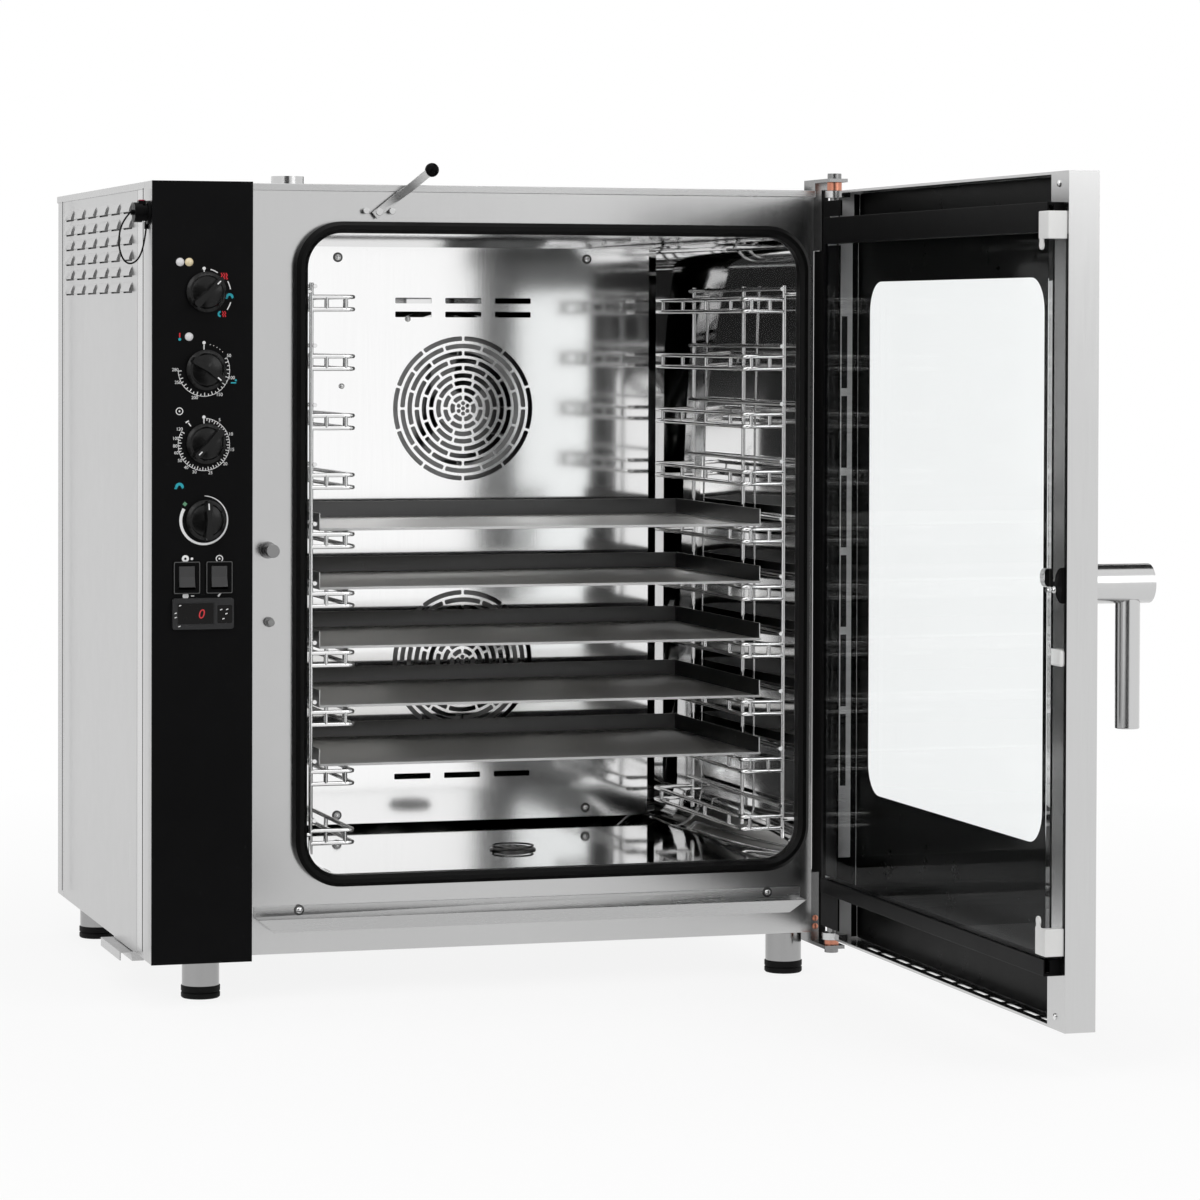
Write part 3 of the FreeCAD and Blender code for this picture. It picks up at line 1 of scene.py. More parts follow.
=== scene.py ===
# %% [markdown]
# # A combi oven with its door open
# The CAD model already has every sheet, tube and hinge in its place, as loose triangles with razor-sharp
# edges. This lesson dresses it: the folded sheets get soft edges, the wires become round, the glass becomes
# glass, and every surface gets a finish. The frame is loaded first, because every later piece is placed by it.

# %% Load the frame
import json
import math

import bmesh
import bpy
from mathutils import Matrix, Vector


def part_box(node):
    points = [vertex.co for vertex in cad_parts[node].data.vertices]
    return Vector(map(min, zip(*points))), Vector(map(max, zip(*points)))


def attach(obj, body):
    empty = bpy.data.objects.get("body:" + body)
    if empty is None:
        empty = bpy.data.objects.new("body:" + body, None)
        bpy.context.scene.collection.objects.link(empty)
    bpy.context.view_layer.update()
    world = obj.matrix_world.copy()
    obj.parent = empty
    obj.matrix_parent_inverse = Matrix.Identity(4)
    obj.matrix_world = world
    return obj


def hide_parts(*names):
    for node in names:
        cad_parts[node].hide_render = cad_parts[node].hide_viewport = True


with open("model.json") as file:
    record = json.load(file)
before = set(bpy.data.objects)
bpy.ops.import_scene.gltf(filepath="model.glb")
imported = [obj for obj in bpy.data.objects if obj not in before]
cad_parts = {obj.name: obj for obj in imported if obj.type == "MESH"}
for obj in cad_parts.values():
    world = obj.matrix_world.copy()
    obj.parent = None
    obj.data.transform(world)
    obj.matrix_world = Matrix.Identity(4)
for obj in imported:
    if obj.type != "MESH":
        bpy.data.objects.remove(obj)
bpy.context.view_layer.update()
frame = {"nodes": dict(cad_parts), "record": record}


def mm(*values):
    return Vector(value / 1000 for value in values)


# %% [markdown]
# ## Camera
# The picture was taken from the left, a little below the top of the oven, with a long lens. A camera could be
# aimed by eye, but known corners of the casing fix it exactly: a focal length in pixels, three turns and a
# place. The lens looks almost level and the frame is shifted down, as a view camera does it, so that upright
# edges stay upright.

# %% Camera
FRAME_PIXELS = 1200
FOCAL_PIXELS = 4197.563
SHIFT_PIXELS = -190.66
SENSOR = 36
CAMERA_PLACE = (-1267.56, -4602.30, 750.48)
YAW, PITCH, ROLL = 0.295517, -0.018994, 0.003073

ahead = Vector((math.sin(YAW) * math.cos(PITCH), math.cos(YAW) * math.cos(PITCH), math.sin(PITCH)))
level = Vector((math.cos(YAW), -math.sin(YAW), 0))
upward = level.cross(ahead)
right = level * math.cos(ROLL) + upward * math.sin(ROLL)
up = upward * math.cos(ROLL) - level * math.sin(ROLL)
camera = bpy.data.objects.new("camera", bpy.data.cameras.new("camera"))
camera.data.sensor_width = SENSOR
camera.data.lens = FOCAL_PIXELS / FRAME_PIXELS * SENSOR
camera.data.shift_y = SHIFT_PIXELS / FRAME_PIXELS
camera.data.clip_end = 50
turned = Matrix((right, up, -ahead)).transposed().to_4x4()
camera.matrix_world = Matrix.Translation(mm(*CAMERA_PLACE)) @ turned
bpy.context.scene.collection.objects.link(camera)
bpy.context.scene.camera = camera
print("lens", round(camera.data.lens, 2), "mm")


# %% [markdown]
# ## Shader maths
# A finish is a small sum: a base value, plus grain, minus wear. Wiring those sums by hand hides them, so one
# class wraps a node's socket and lets Python's own operators add the Math nodes; the bar picks the larger of
# two. Every other node comes from its add method, which sets the node's settings before its sockets.

# %% Shader maths
class Wire:
    """A socket in a node tree that can be used in sums."""

    def __init__(self, tree, socket=None):
        self.tree, self.socket = tree, socket

    def add(self, kind, settings=None, sockets=None, output=0):
        node = self.tree.nodes.new(f"ShaderNode{kind}")
        for name, value in (settings or {}).items():
            setattr(node, name, value)
        for name, value in (sockets or {}).items():
            if isinstance(value, Wire):
                self.tree.links.new(value.socket, node.inputs[name])
            else:
                node.inputs[name].default_value = value
        return Wire(self.tree, node.outputs[output] if node.outputs else None)

    def sum(self, operation, first, second):
        return self.add("Math", {"operation": operation}, {0: first, 1: second})

    def __add__(self, other):
        return self.sum("ADD", self, other)

    def __sub__(self, other):
        return self.sum("SUBTRACT", self, other)

    def __mul__(self, other):
        return self.sum("MULTIPLY", self, other)

    def __or__(self, other):
        return self.sum("MAXIMUM", self, other)

    def noise(self, place, scale, detail=3.0, stretch=None):
        if stretch:
            place = self.add("Mapping", {}, {"Vector": place, "Scale": stretch})
        return self.add("TexNoise", {}, {"Vector": place, "Scale": scale, "Detail": detail})

    def blend(self, mask, first, second):
        return self.add("Mix", {"data_type": "RGBA"}, {0: mask, 6: first, 7: second}, 2)


looks = {}


def finish(name, paint):
    material = bpy.data.materials.new(name)
    material.use_nodes = True
    material.node_tree.nodes.clear()
    pen = Wire(material.node_tree)
    surface = paint(pen, pen.add("TexCoord", output="Object"))
    pen.add("OutputMaterial", {}, {"Surface": surface})
    looks[name] = material
    return material


# %% [markdown]
# ## Studio
# The oven stands on a pale floor in front of nothing but white. The world is white only to rays that come from
# the camera or from a mirror or glass; the light that falls on the object is set apart from it, so the white
# costs no contrast. The floor fades into that white with distance, so no horizon shows.

# %% Studio
def seen(pen):
    path = pen.add("LightPath")
    kinds = [Wire(pen.tree, path.socket.node.outputs[f"Is {kind} Ray"])
             for kind in ("Camera", "Glossy", "Transmission")]
    return kinds[0] | kinds[1] | kinds[2]


WHITE = (1, 1, 1, 1)
world = bpy.data.worlds.new("studio")
bpy.context.scene.world = world
world.use_nodes = True
world.node_tree.nodes.clear()
air = Wire(world.node_tree)
soft = air.add("Background", {}, {"Color": WHITE, "Strength": 0.6})
backdrop = air.add("Background", {}, {"Color": WHITE, "Strength": 1.0})
air.add("OutputWorld", {}, {"Surface": air.add("MixShader", {}, {0: seen(air), 1: soft, 2: backdrop})})


FADE_START, FADE_END, NEAR_WHITE = 0.7, 2.2, 0.86


def paint_floor(pen, place):
    cloud = pen.noise(place, 0.8)
    tone = pen.blend(cloud, (0.84, 0.84, 0.84, 1), (0.88, 0.88, 0.88, 1))
    ground = pen.add("BsdfDiffuse", {}, {"Color": tone})
    glow = pen.add("Emission", {}, {"Color": WHITE, "Strength": 1.0})
    reach = pen.add("VectorMath", {"operation": "LENGTH"}, {0: place}, "Value")
    share = pen.add("MapRange", {}, {
        "Value": reach, "From Min": FADE_START, "From Max": FADE_END, "To Min": NEAR_WHITE, "To Max": 1.0})
    return pen.add("MixShader", {}, {0: seen(pen) * share, 1: ground, 2: glow})


def stage_card(name, low, high, material):
    bm = bmesh.new()
    bmesh.ops.create_grid(bm, x_segments=1, y_segments=1, size=0.5)
    spread = Vector(high) - Vector(low)
    if spread.z:
        bmesh.ops.rotate(bm, verts=bm.verts, matrix=Matrix.Rotation(math.pi / 2, 3, "X"))
        spread.y = 1
    else:
        spread.z = 1
    bmesh.ops.scale(bm, vec=spread, verts=bm.verts)
    bmesh.ops.translate(bm, vec=(Vector(low) + Vector(high)) / 2, verts=bm.verts)
    mesh = bpy.data.meshes.new(name)
    bm.to_mesh(mesh)
    bm.free()
    mesh.materials.append(material)
    card = bpy.data.objects.new(name, mesh)
    bpy.context.scene.collection.objects.link(card)
    return card


stage_card("floor", (-9, -9, 0), (9, 9, 0), finish("pale_floor", paint_floor))
print("studio with a", world.name, "world")

# %% [markdown]
# ## Lamps and dark cards
# Polished steel is only as good as what it mirrors: in an all-white room a round bar looks flat. Photographers
# stand dark cards just out of sight, which draw the dark bands along a bar and the shade in a mirror. One lies
# on the floor. They are hidden from the camera and from soft light, so only reflections know of them.

# %% Lamps and dark cards
dark = finish("dark_card", lambda pen, place: pen.add(
    "BsdfDiffuse", {}, {"Color": pen.blend(pen.noise(place, 3), (0.02, 0.02, 0.02, 1), (0.03, 0.03, 0.03, 1))}))
CARDS = (
    ("camera_flag", (-4.0, -5.4, 0.05), (-0.1, -5.4, 2.2)),
    ("back_flag", (-0.2, 3.6, 0.02), (3.6, 3.6, 2.4)),
    ("ceiling_flag", (0.5, -0.4, 3.1), (2.6, 4.0, 3.1)),
    ("ground_flag", (-2.4, -5.3, 0.004), (-0.05, -0.8, 0.004)),
)
for name, low, high in CARDS:
    card = stage_card(name, low, high, dark)
    card.visible_camera = card.visible_diffuse = card.visible_transmission = card.visible_shadow = False
AIM_POINT = Vector((0.05, 0.1, 0.5))
SOFTBOXES = (
    ("left_softbox", (-2.6, -2.6, 2.6), 2.0, 30),
    ("right_softbox", (2.4, -3.6, 2.2), 2.2, 26),
    ("top_softbox", (0.1, -0.4, 3.4), 2.4, 22),
)
for name, place, size, power in SOFTBOXES:
    lamp = bpy.data.lights.new(name, "AREA")
    lamp.shape, lamp.size, lamp.energy = "SQUARE", size, power
    box = bpy.data.objects.new(name, lamp)
    aim = AIM_POINT - Vector(place)
    box.matrix_world = Matrix.Translation(place) @ aim.to_track_quat("-Z", "Y").to_matrix().to_4x4()
    bpy.context.scene.collection.objects.link(box)
print(len(SOFTBOXES), "softboxes and", len(CARDS), "cards")


# %% [markdown]
# ## Steel
# Most of the oven is stainless steel: brushed sheet on the casing, mirror sheet in the chamber, turned and drawn
# stock for handles and wires. One recipe makes them all. Brushing is a noise stretched along the grain, which
# breaks up the roughness and, very slightly, the surface; a mirror is the same recipe with almost none of it.

# %% Steel
def steel(tone, rough, grain, fleck=0.10, depth=0.05, tint=(1, 1, 1)):
    def paint(pen, place):
        fibre = pen.noise(place, 1.0, 4.0, grain)
        cloud = pen.noise(place, 5.0, 2.0)
        smudge = pen.noise(place, 38.0, 2.0)
        light = tuple(min(1.0, tone * 1.04 * part) for part in tint) + (1,)
        shade = tuple(tone * 0.93 * part for part in tint) + (1,)
        bump = pen.add("Bump", {}, {"Strength": depth, "Distance": 0.0004, "Height": fibre})
        return pen.add("BsdfPrincipled", {}, {
            "Base Color": pen.blend(cloud * 0.5 + fibre * 0.5, shade, light),
            "Metallic": 1.0,
            "Roughness": (fibre - 0.5) * fleck + (smudge - 0.5) * (rough * 0.16) + rough,
            "Normal": bump,
        })
    return paint


UPRIGHT, ACROSS, EVEN = (700, 700, 14), (14, 700, 700), (240, 240, 240)
# Tone, roughness and grain of each, then fleck, depth and tint where they differ
STEELS = {
    "casing_steel": (0.50, 0.30, UPRIGHT),
    "level_steel": (0.50, 0.28, ACROSS),
    "front_steel": (0.55, 0.20, UPRIGHT, 0.06, 0.03),
    "door_steel": (0.60, 0.20, UPRIGHT, 0.06, 0.03),
    "chamber_steel": (0.80, 0.05, UPRIGHT, 0.02, 0.01),
    "baffle_steel": (0.98, 0.09, UPRIGHT, 0.02, 0.01),
    "bright_wire": (0.78, 0.12, EVEN, 0.06, 0.03),
    "turned_steel": (0.60, 0.18, (900, 900, 40), 0.08, 0.03),
    "tray_metal": (0.86, 0.42, (60, 420, 420), 0.10, 0.04, (1, 0.99, 0.97)),
    "fan_metal": (0.30, 0.34, EVEN),
    # The trays' walls: a near-black steel as painted shade
    "tray_wall_painted_shade": (0.07, 0.30, EVEN),
    "leg_steel": (0.36, 0.16, (260, 260, 6), 0.25),
    "dark_metal": (0.10, 0.34, EVEN),
    # A darker steel, as painted shade on the hinge brackets where they sit in shadow; the catch pin gets it too
    "hinge_steel": (0.26, 0.24, EVEN, 0.08, 0.03),
    "bush_copper": (0.58, 0.30, EVEN, 0.10, 0.04, (1.0, 0.42, 0.28)),
}
for name, recipe in STEELS.items():
    finish(name, steel(*recipe))
print(len(STEELS), "metals")


# %% [markdown]
# ## Plastics, rubber and print
# Everything that isn't steel or glass is moulded or printed. A fine pebble breaks its shine. Black is the hard
# one: in a white room even a little shine turns it grey, so the black parts get a low specular level.

# %% Plastics, rubber and print
def moulded(colour, rough, shine=0.5, grain=900.0, depth=0.06, coat=0.0):
    def paint(pen, place):
        pebble = pen.noise(place, grain, 2.0)
        cloud = pen.noise(place, 24.0, 3.0)
        deep = tuple(part * 0.82 for part in colour) + (1,)
        pale = tuple(min(1.0, part * 1.12 + 0.001) for part in colour) + (1,)
        bump = pen.add("Bump", {}, {"Strength": depth, "Distance": 0.0003, "Height": pebble})
        return pen.add("BsdfPrincipled", {}, {
            "Base Color": pen.blend(cloud, deep, pale), "Specular IOR Level": shine,
            "Roughness": (cloud - 0.5) * 0.12 + (pebble - 0.5) * 0.06 + rough,
            "Coat Weight": coat, "Coat Roughness": 0.08, "Normal": bump,
        })
    return paint


# Colour and roughness of each, then shine, grain, depth and coat where they differ
PLASTICS = {
    "fascia_black": ((0.0035, 0.0035, 0.0038), 0.34, 0.05, 300.0, 0.01),
    "satin_black": ((0.002, 0.002, 0.0022), 0.36, 0.05), "knob_black": ((0.004, 0.004, 0.004), 0.24, 0.24),
    "key_grey": ((0.055, 0.055, 0.056), 0.36, 0.15), "case_grey": ((0.030, 0.030, 0.031), 0.45, 0.15),
    "rubber_black": ((0.006, 0.006, 0.006), 0.60, 0.12, 600.0, 0.15),
    "seal_black": ((0.0025, 0.0025, 0.0025), 0.38, 0.10, 500.0, 0.05),
    # The door web's pale paint is painted light on its steel
    "clip_white": ((0.80, 0.80, 0.79), 0.38), "web_painted_light": ((0.88, 0.88, 0.88), 0.35),
    # The trays' lips: a pale paint as a painted highlight
    "tray_lip_painted_highlight": ((0.92, 0.92, 0.91), 0.30),
    "sensor_grey": ((0.30, 0.30, 0.30), 0.42, 0.2),
    "motor_grey": ((0.05, 0.05, 0.055), 0.5, 0.3, 200.0, 0.1),
    "sheath_dark": ((0.05, 0.045, 0.04), 0.5, 0.3, 260.0, 0.2),
    "latch_red": ((0.42, 0.02, 0.06), 0.35, 0.2),
    "lens_white": ((0.74, 0.73, 0.74), 0.12, 0.5, 700.0, 0.0, 0.6),
    "lens_amber": ((0.78, 0.66, 0.42), 0.12, 0.5, 700.0, 0.0, 0.6),
    "window_dark": ((0.004, 0.0035, 0.0035), 0.12, 0.15, 300.0, 0.0),
    "ink_white": ((0.84, 0.84, 0.84), 0.5, 0.2, 1500.0, 0.02),
    "ink_grey": ((0.10, 0.10, 0.10), 0.5, 0.2, 1500.0, 0.02),
    "ink_teal": ((0.03, 0.38, 0.46), 0.5, 0.2, 1500.0, 0.02),
    "ink_red": ((0.62, 0.03, 0.04), 0.5, 0.2, 1500.0, 0.02),
    "ink_green": ((0.14, 0.34, 0.20), 0.5, 0.2, 1500.0, 0.02),
    "ink_black": ((0.0015, 0.0015, 0.0015), 0.30, 0.04, 300.0, 0.01),
}
for name, recipe in PLASTICS.items():
    finish(name, moulded(*recipe))


def paint_digit(pen, place):
    flicker = pen.noise(place, 900.0, 2.0)
    glow = pen.blend(flicker, (0.42, 0.01, 0.02, 1), (0.60, 0.03, 0.04, 1))
    return pen.add("BsdfPrincipled", {}, {
        "Base Color": (0.2, 0.01, 0.01, 1), "Roughness": 0.4, "Emission Color": glow, "Emission Strength": 0.7})


def glass(tint, index):
    def paint(pen, place):
        streak = pen.noise(place, 6.0, 3.0)
        deep = tuple(part * 0.98 for part in tint) + (1,)
        return pen.add("BsdfPrincipled", {}, {
            "Base Color": pen.blend(streak, deep, tint + (1,)),
            "Roughness": streak * 0.012, "IOR": index, "Transmission Weight": 1.0,
        })
    return paint


finish("digit_red", paint_digit)
finish("clear_glass", glass((0.99, 1.0, 1.0), 1.07))
finish("outer_glass", glass((0.98, 0.99, 0.99), 1.07))
print(len(looks), "finishes")

# %% [markdown]
# ## Dressing the CAD nodes
# A folded sheet never has a razor edge: light always catches a thin bright line along it. The CAD solids are
# exact but sharp, so each visible one is copied, its loose triangles are merged, flat areas become single
# faces, and a Bevel modifier rounds what is left by a fraction of a millimetre. The copy then stands for the
# node and rides on the same body.

# %% Dressing
bodies = frame["record"]["behaviour"]["bodies"]
body_of = {node: body for body, members in bodies.items() for node in members}


def settle(name, mesh, body, look, nodes=()):
    mesh.materials.clear()
    mesh.materials.append(looks[look])
    piece = bpy.data.objects.new(name, mesh)
    bpy.context.scene.collection.objects.link(piece)
    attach(piece, body)
    if nodes:
        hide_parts(*nodes)
    return piece


def smooth(mesh, angle=32):
    mesh.shade_smooth()
    mesh.set_sharp_from_angle(angle=math.radians(angle))


def soften(piece, width):
    bevel = piece.modifiers.new("soft_edges", "BEVEL")
    bevel.width, bevel.segments, bevel.profile = width / 1000, 2, 0.5
    bevel.limit_method, bevel.angle_limit = "ANGLE", math.radians(34)
    bevel.use_clamp_overlap, bevel.harden_normals = True, True


def dress(node, look, edge=0.4, crease=32):
    mesh = frame["nodes"][node].data.copy()
    bm = bmesh.new()
    bm.from_mesh(mesh)
    bmesh.ops.remove_doubles(bm, verts=bm.verts, dist=2e-6)
    bmesh.ops.dissolve_limit(bm, angle_limit=math.radians(0.5), verts=bm.verts, edges=bm.edges)
    bm.to_mesh(mesh)
    bm.free()
    mesh.name = f"{node}_mesh"
    smooth(mesh, crease)
    piece = settle(f"{node}_dressed", mesh, body_of[node], look, [node])
    if edge:
        soften(piece, edge)
    return piece


# Finish and edge in millimetres of each, then the crease angle where it differs
SHEETS = {
    "base_pan": ("casing_steel", 0.6), "front_frame": ("front_steel", 0.6),
    "left_side_panel": ("casing_steel", 0.9, 8), "right_side_panel": ("casing_steel", 0.9, 8),
    "rear_panel": ("level_steel", 0.6), "top_cover": ("level_steel", 0.9), "control_box": ("casing_steel", 0.6),
    "tray_runner": ("level_steel", 0.4), "drip_gutter": ("level_steel", 0.5),
    "leg_tubes": ("leg_steel", 0.6), "control_fascia": ("fascia_black", 0.3),
    # The hinge brackets take the darker steel as painted shade
    "cavity_liner": ("chamber_steel", 0.0), "door_frame": ("door_steel", 0.5), "hinge_brackets": ("hinge_steel", 0.8),
    "hinge_bushes": ("bush_copper", 0.4), "drain_strainer": ("dark_metal", 0.3), "vent_pipe": ("turned_steel", 0.3),
    "drain_pipe": ("turned_steel", 0.3), "water_inlet": ("bush_copper", 0.5), "lever_stops": ("turned_steel", 0.5),
    "catch_pin": ("hinge_steel", 0.6), "vent_lever": ("level_steel", 0.5), "handle_boss": ("turned_steel", 1.2),
    "handle_grip": ("turned_steel", 1.0), "mode_knob": ("knob_black", 1.6), "temperature_knob": ("knob_black", 1.6),
    "timer_knob": ("knob_black", 1.6), "steam_knob": ("knob_black", 1.6), "switch_bezels": ("satin_black", 0.8),
    "left_rocker": ("key_grey", 0.6), "right_rocker": ("key_grey", 0.6), "controller": ("case_grey", 0.6),
    "foot_pads": ("rubber_black", 1.0), "door_gasket": ("seal_black", 0.0), "probe_socket": ("satin_black", 0.6),
    "probe_cap": ("satin_black", 0.7), "upper_glass_rail": ("satin_black", 0.5),
    "lower_glass_rail": ("satin_black", 0.5), "glass_clips": ("clip_white", 1.0), "door_magnet": ("clip_white", 4.0),
    "latch_housing": ("satin_black", 0.6), "door_sensor": ("sensor_grey", 0.6), "upper_fan": ("fan_metal", 0.0),
    "lower_fan": ("fan_metal", 0.0), "fan_motors": ("motor_grey", 0.8), "heating_elements": ("sheath_dark", 0.0),
    "vent_damper": ("turned_steel", 0.3), "inner_glass": ("clear_glass", 0.5), "outer_glass": ("outer_glass", 0.5),
}
TRAYS = [f"baking_tray_{n}" for n in range(1, 6)]
SHEETS.update({tray: ("tray_metal", 0.4) for tray in TRAYS})
dressed = {node: dress(node, *look) for node, look in SHEETS.items()}
print(len(dressed), "nodes dressed;", sorted(set(frame["nodes"]) - set(dressed)), "left for the next steps")

# %% [markdown]
# ## Painted faces of the door
# One long flap of the door's frame is painted black, and the web beside it gets a pale paint as painted light on
# its steel; the rest is bare steel. Each could be cut off as a piece of its own, but paint is only another material
# on the faces of a thin slab. The flap is everything left of one line, and the web is one upright plane.

# %% Painted faces
FLAP_SIDE, FLAP_LOW, FLAP_TOP = 0.3975, 0.0605, 0.8995
WEB_DEPTH, WEB_SLACK = -0.0462, 0.0004
flap = dressed["door_frame"].data
flap.materials.append(looks["satin_black"])
# The web's pale paint is painted light on its bare steel
flap.materials.append(looks["web_painted_light"])
for face in flap.polygons:
    if face.center.x < FLAP_SIDE and FLAP_LOW < face.center.z < FLAP_TOP:
        face.material_index = 1
    elif abs(face.center.y - WEB_DEPTH) < WEB_SLACK and face.normal.y < -0.9:
        face.material_index = 2
print(sum(face.material_index > 0 for face in flap.polygons), "painted faces")

# %% [markdown]
# ## Trays with painted shade and highlight
# A baking tray gets a near-black steel on its walls, as painted shade, and a pale paint on its folded lip, as a
# painted highlight. A mask painted on the sheet could show that, but the faces already tell the two apart: the lip
# lies within a few millimetres of the front edge, and the walls stand upright.

# %% Trays with painted shade and highlight
LIP_REACH, UPRIGHT_LIMIT = 0.005, 0.3
for name in TRAYS:
    tray = dressed[name].data
    # The walls get a near-black steel as painted shade, the folded lip a pale paint as a painted highlight
    tray.materials.append(looks["tray_wall_painted_shade"])
    tray.materials.append(looks["tray_lip_painted_highlight"])
    front = min(corner.co.y for corner in tray.vertices)
    for face in tray.polygons:
        if face.center.y < front + LIP_REACH:
            face.material_index = 2
        elif abs(face.normal.z) < UPRIGHT_LIMIT:
            face.material_index = 1
print(len(TRAYS), "trays toned")


# %% [markdown]
# ## Wires
# The tray racks are bent from round wire and welded. A wire could be skinned along edges, but a curve with a
# round bevel gives a true round section and clean bends: each corner of the route becomes two Bezier points
# whose handles reach for the corner. The curve is made a mesh once all its wires are in.

# %% Wire racks
def bent(curve, points, bend):
    stations = [(points[0],) * 3]
    for before, corner, after in zip(points, points[1:], points[2:]):
        start = corner + (before - corner).normalized() * bend
        end = corner + (after - corner).normalized() * bend
        stations.append((start, start, start.lerp(corner, 0.55)))
        stations.append((end, end.lerp(corner, 0.55), end))
    stations.append((points[-1],) * 3)
    spline = curve.splines.new("BEZIER")
    spline.bezier_points.add(len(stations) - 1)
    for point, (place, before, after) in zip(spline.bezier_points, stations):
        point.handle_left_type = point.handle_right_type = "FREE"
        point.co, point.handle_left, point.handle_right = place, before, after


def as_mesh(name, curve):
    holder = bpy.data.objects.new(f"{name}_line", curve)
    bpy.context.scene.collection.objects.link(holder)
    bpy.context.view_layer.update()
    mesh = bpy.data.meshes.new_from_object(holder)
    bpy.data.objects.remove(holder)
    mesh.name = f"{name}_mesh"
    return mesh


def wirework(name, routes, radius, bend=7):
    curve = bpy.data.curves.new(f"{name}_curve", "CURVE")
    curve.dimensions, curve.bevel_depth, curve.bevel_resolution = "3D", radius / 1000, 2
    curve.use_fill_caps, curve.resolution_u = True, 3
    for route in routes:
        bent(curve, [mm(*point) for point in route], bend / 1000)
    mesh = as_mesh(name, curve)
    smooth(mesh, 50)
    return mesh


RAIL_TOP, RAIL_PITCH, RAIL_GAP, GUARD_RISE = 786.5, 67, 14, 12
RACK_FRONT, RACK_MIDDLE, RACK_BACK = 15, 160, 350
RUNGS, END_RUNGS = (61, 152, 242, 320), (0.35, 0.8)


def rack_routes(wall, inward):
    post, reach = wall + inward * 10, wall + inward * 60
    low = RAIL_TOP - RAIL_PITCH * 9 - RAIL_GAP
    routes = [[(post, depth, low - 12), (post, depth, RAIL_TOP + GUARD_RISE + 4)]
              for depth in (RACK_FRONT, RACK_MIDDLE, RACK_BACK)]
    for depth in (RACK_FRONT, RACK_BACK):
        routes += [[(wall, depth, height), (post, depth, height)] for height in (low + 10, RAIL_TOP + 6)]
    for step in range(10):
        rail = RAIL_TOP - step * RAIL_PITCH
        for height in (rail, rail - RAIL_GAP):
            routes.append([(post, RACK_FRONT, height), (reach, RACK_FRONT, height),
                           (reach, RACK_BACK, height), (post, RACK_BACK, height)])
        guard = post + inward * 3.75
        routes.append([(guard, RACK_FRONT - 4, rail + GUARD_RISE), (guard, RACK_BACK + 4, rail + GUARD_RISE)])
        for depth in RUNGS:
            routes.append([(reach, depth, rail), (reach, depth, rail - RAIL_GAP)])
        for part in END_RUNGS:
            across = post + (reach - post) * part
            routes.append([(across, RACK_FRONT, rail), (across, RACK_FRONT, rail - RAIL_GAP)])
    return routes


for name, wall, inward in (("left_rack", -212, 1), ("right_rack", 372, -1)):
    mesh = wirework(name, rack_routes(wall, inward), 2.5)
    settle(f"{name}_wires", mesh, "oven", "bright_wire", [name])
    print(name, len(mesh.polygons), "faces")

# %% [markdown]
# ## Tether of the probe cap
# The cap of the core-probe socket hangs on a short round cord, so that it isn't lost. It is limp and falls in
# one loop. A tube could be swept along arcs, but a NURBS line through a few control points is what a soft cord
# does by itself: its bends flow into each other.

# %% Tether
TETHER = ((-415.5, -30, 879), (-426, -30, 868), (-430, -29.5, 846), (-426, -28, 828), (-417, -26, 820),
          (-406, -24, 826), (-399.5, -22, 843), (-397.2, -21, 861))
line = bpy.data.curves.new("tether_curve", "CURVE")
line.dimensions, line.bevel_depth, line.bevel_resolution = "3D", 0.001, 3
line.resolution_u, line.use_fill_caps = 12, True
strand = line.splines.new("NURBS")
strand.points.add(len(TETHER) - 1)
for point, place in zip(strand.points, TETHER):
    point.co = (*mm(*place), 1)
strand.order_u, strand.use_endpoint_u = 3, True
line.materials.append(looks["rubber_black"])
tether = bpy.data.objects.new("cap_tether_cord", line)
bpy.context.scene.collection.objects.link(tether)
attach(tether, "oven")
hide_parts("cap_tether")
mm(*TETHER[0])
print("tether of", len(TETHER), "control points")


# %% [markdown]
# ## Turned pieces
# The ball on the vent lever, the lamps, the screw heads and the door's latch bolt are all round. Each is spun
# from a profile of radius and height. A cylinder with its edges bevelled would do for some, but a profile also
# gives domes and waists, and afterwards only the points on the axis need merging.

# %% Turned pieces
def spun(name, profile, centre, axis, steps=32):
    """Spin (radius, along) pairs about an axis through centre."""
    bm = bmesh.new()
    turn = Vector((0, 0, 1)).rotation_difference(Vector(axis)).to_matrix()
    verts = [bm.verts.new(turn @ mm(radius, 0, along) + mm(*centre)) for radius, along in profile]
    edges = [bm.edges.new(pair) for pair in zip(verts, verts[1:])]
    bmesh.ops.spin(bm, geom=verts + edges, cent=mm(*centre), axis=turn @ Vector((0, 0, 1)),
                   angle=math.tau, steps=steps, use_merge=True)
    bmesh.ops.remove_doubles(bm, verts=bm.verts, dist=1e-6)
    bmesh.ops.recalc_face_normals(bm, faces=bm.faces)
    mesh = bpy.data.meshes.new(f"{name}_mesh")
    bm.to_mesh(mesh)
    bm.free()
    smooth(mesh)
    return mesh


def dome(radius, rise, base=0.0, count=8):
    turns = [step * math.pi / 2 / count for step in range(count + 1)]
    return [(radius * math.cos(turn), base + rise * math.sin(turn)) for turn in turns]


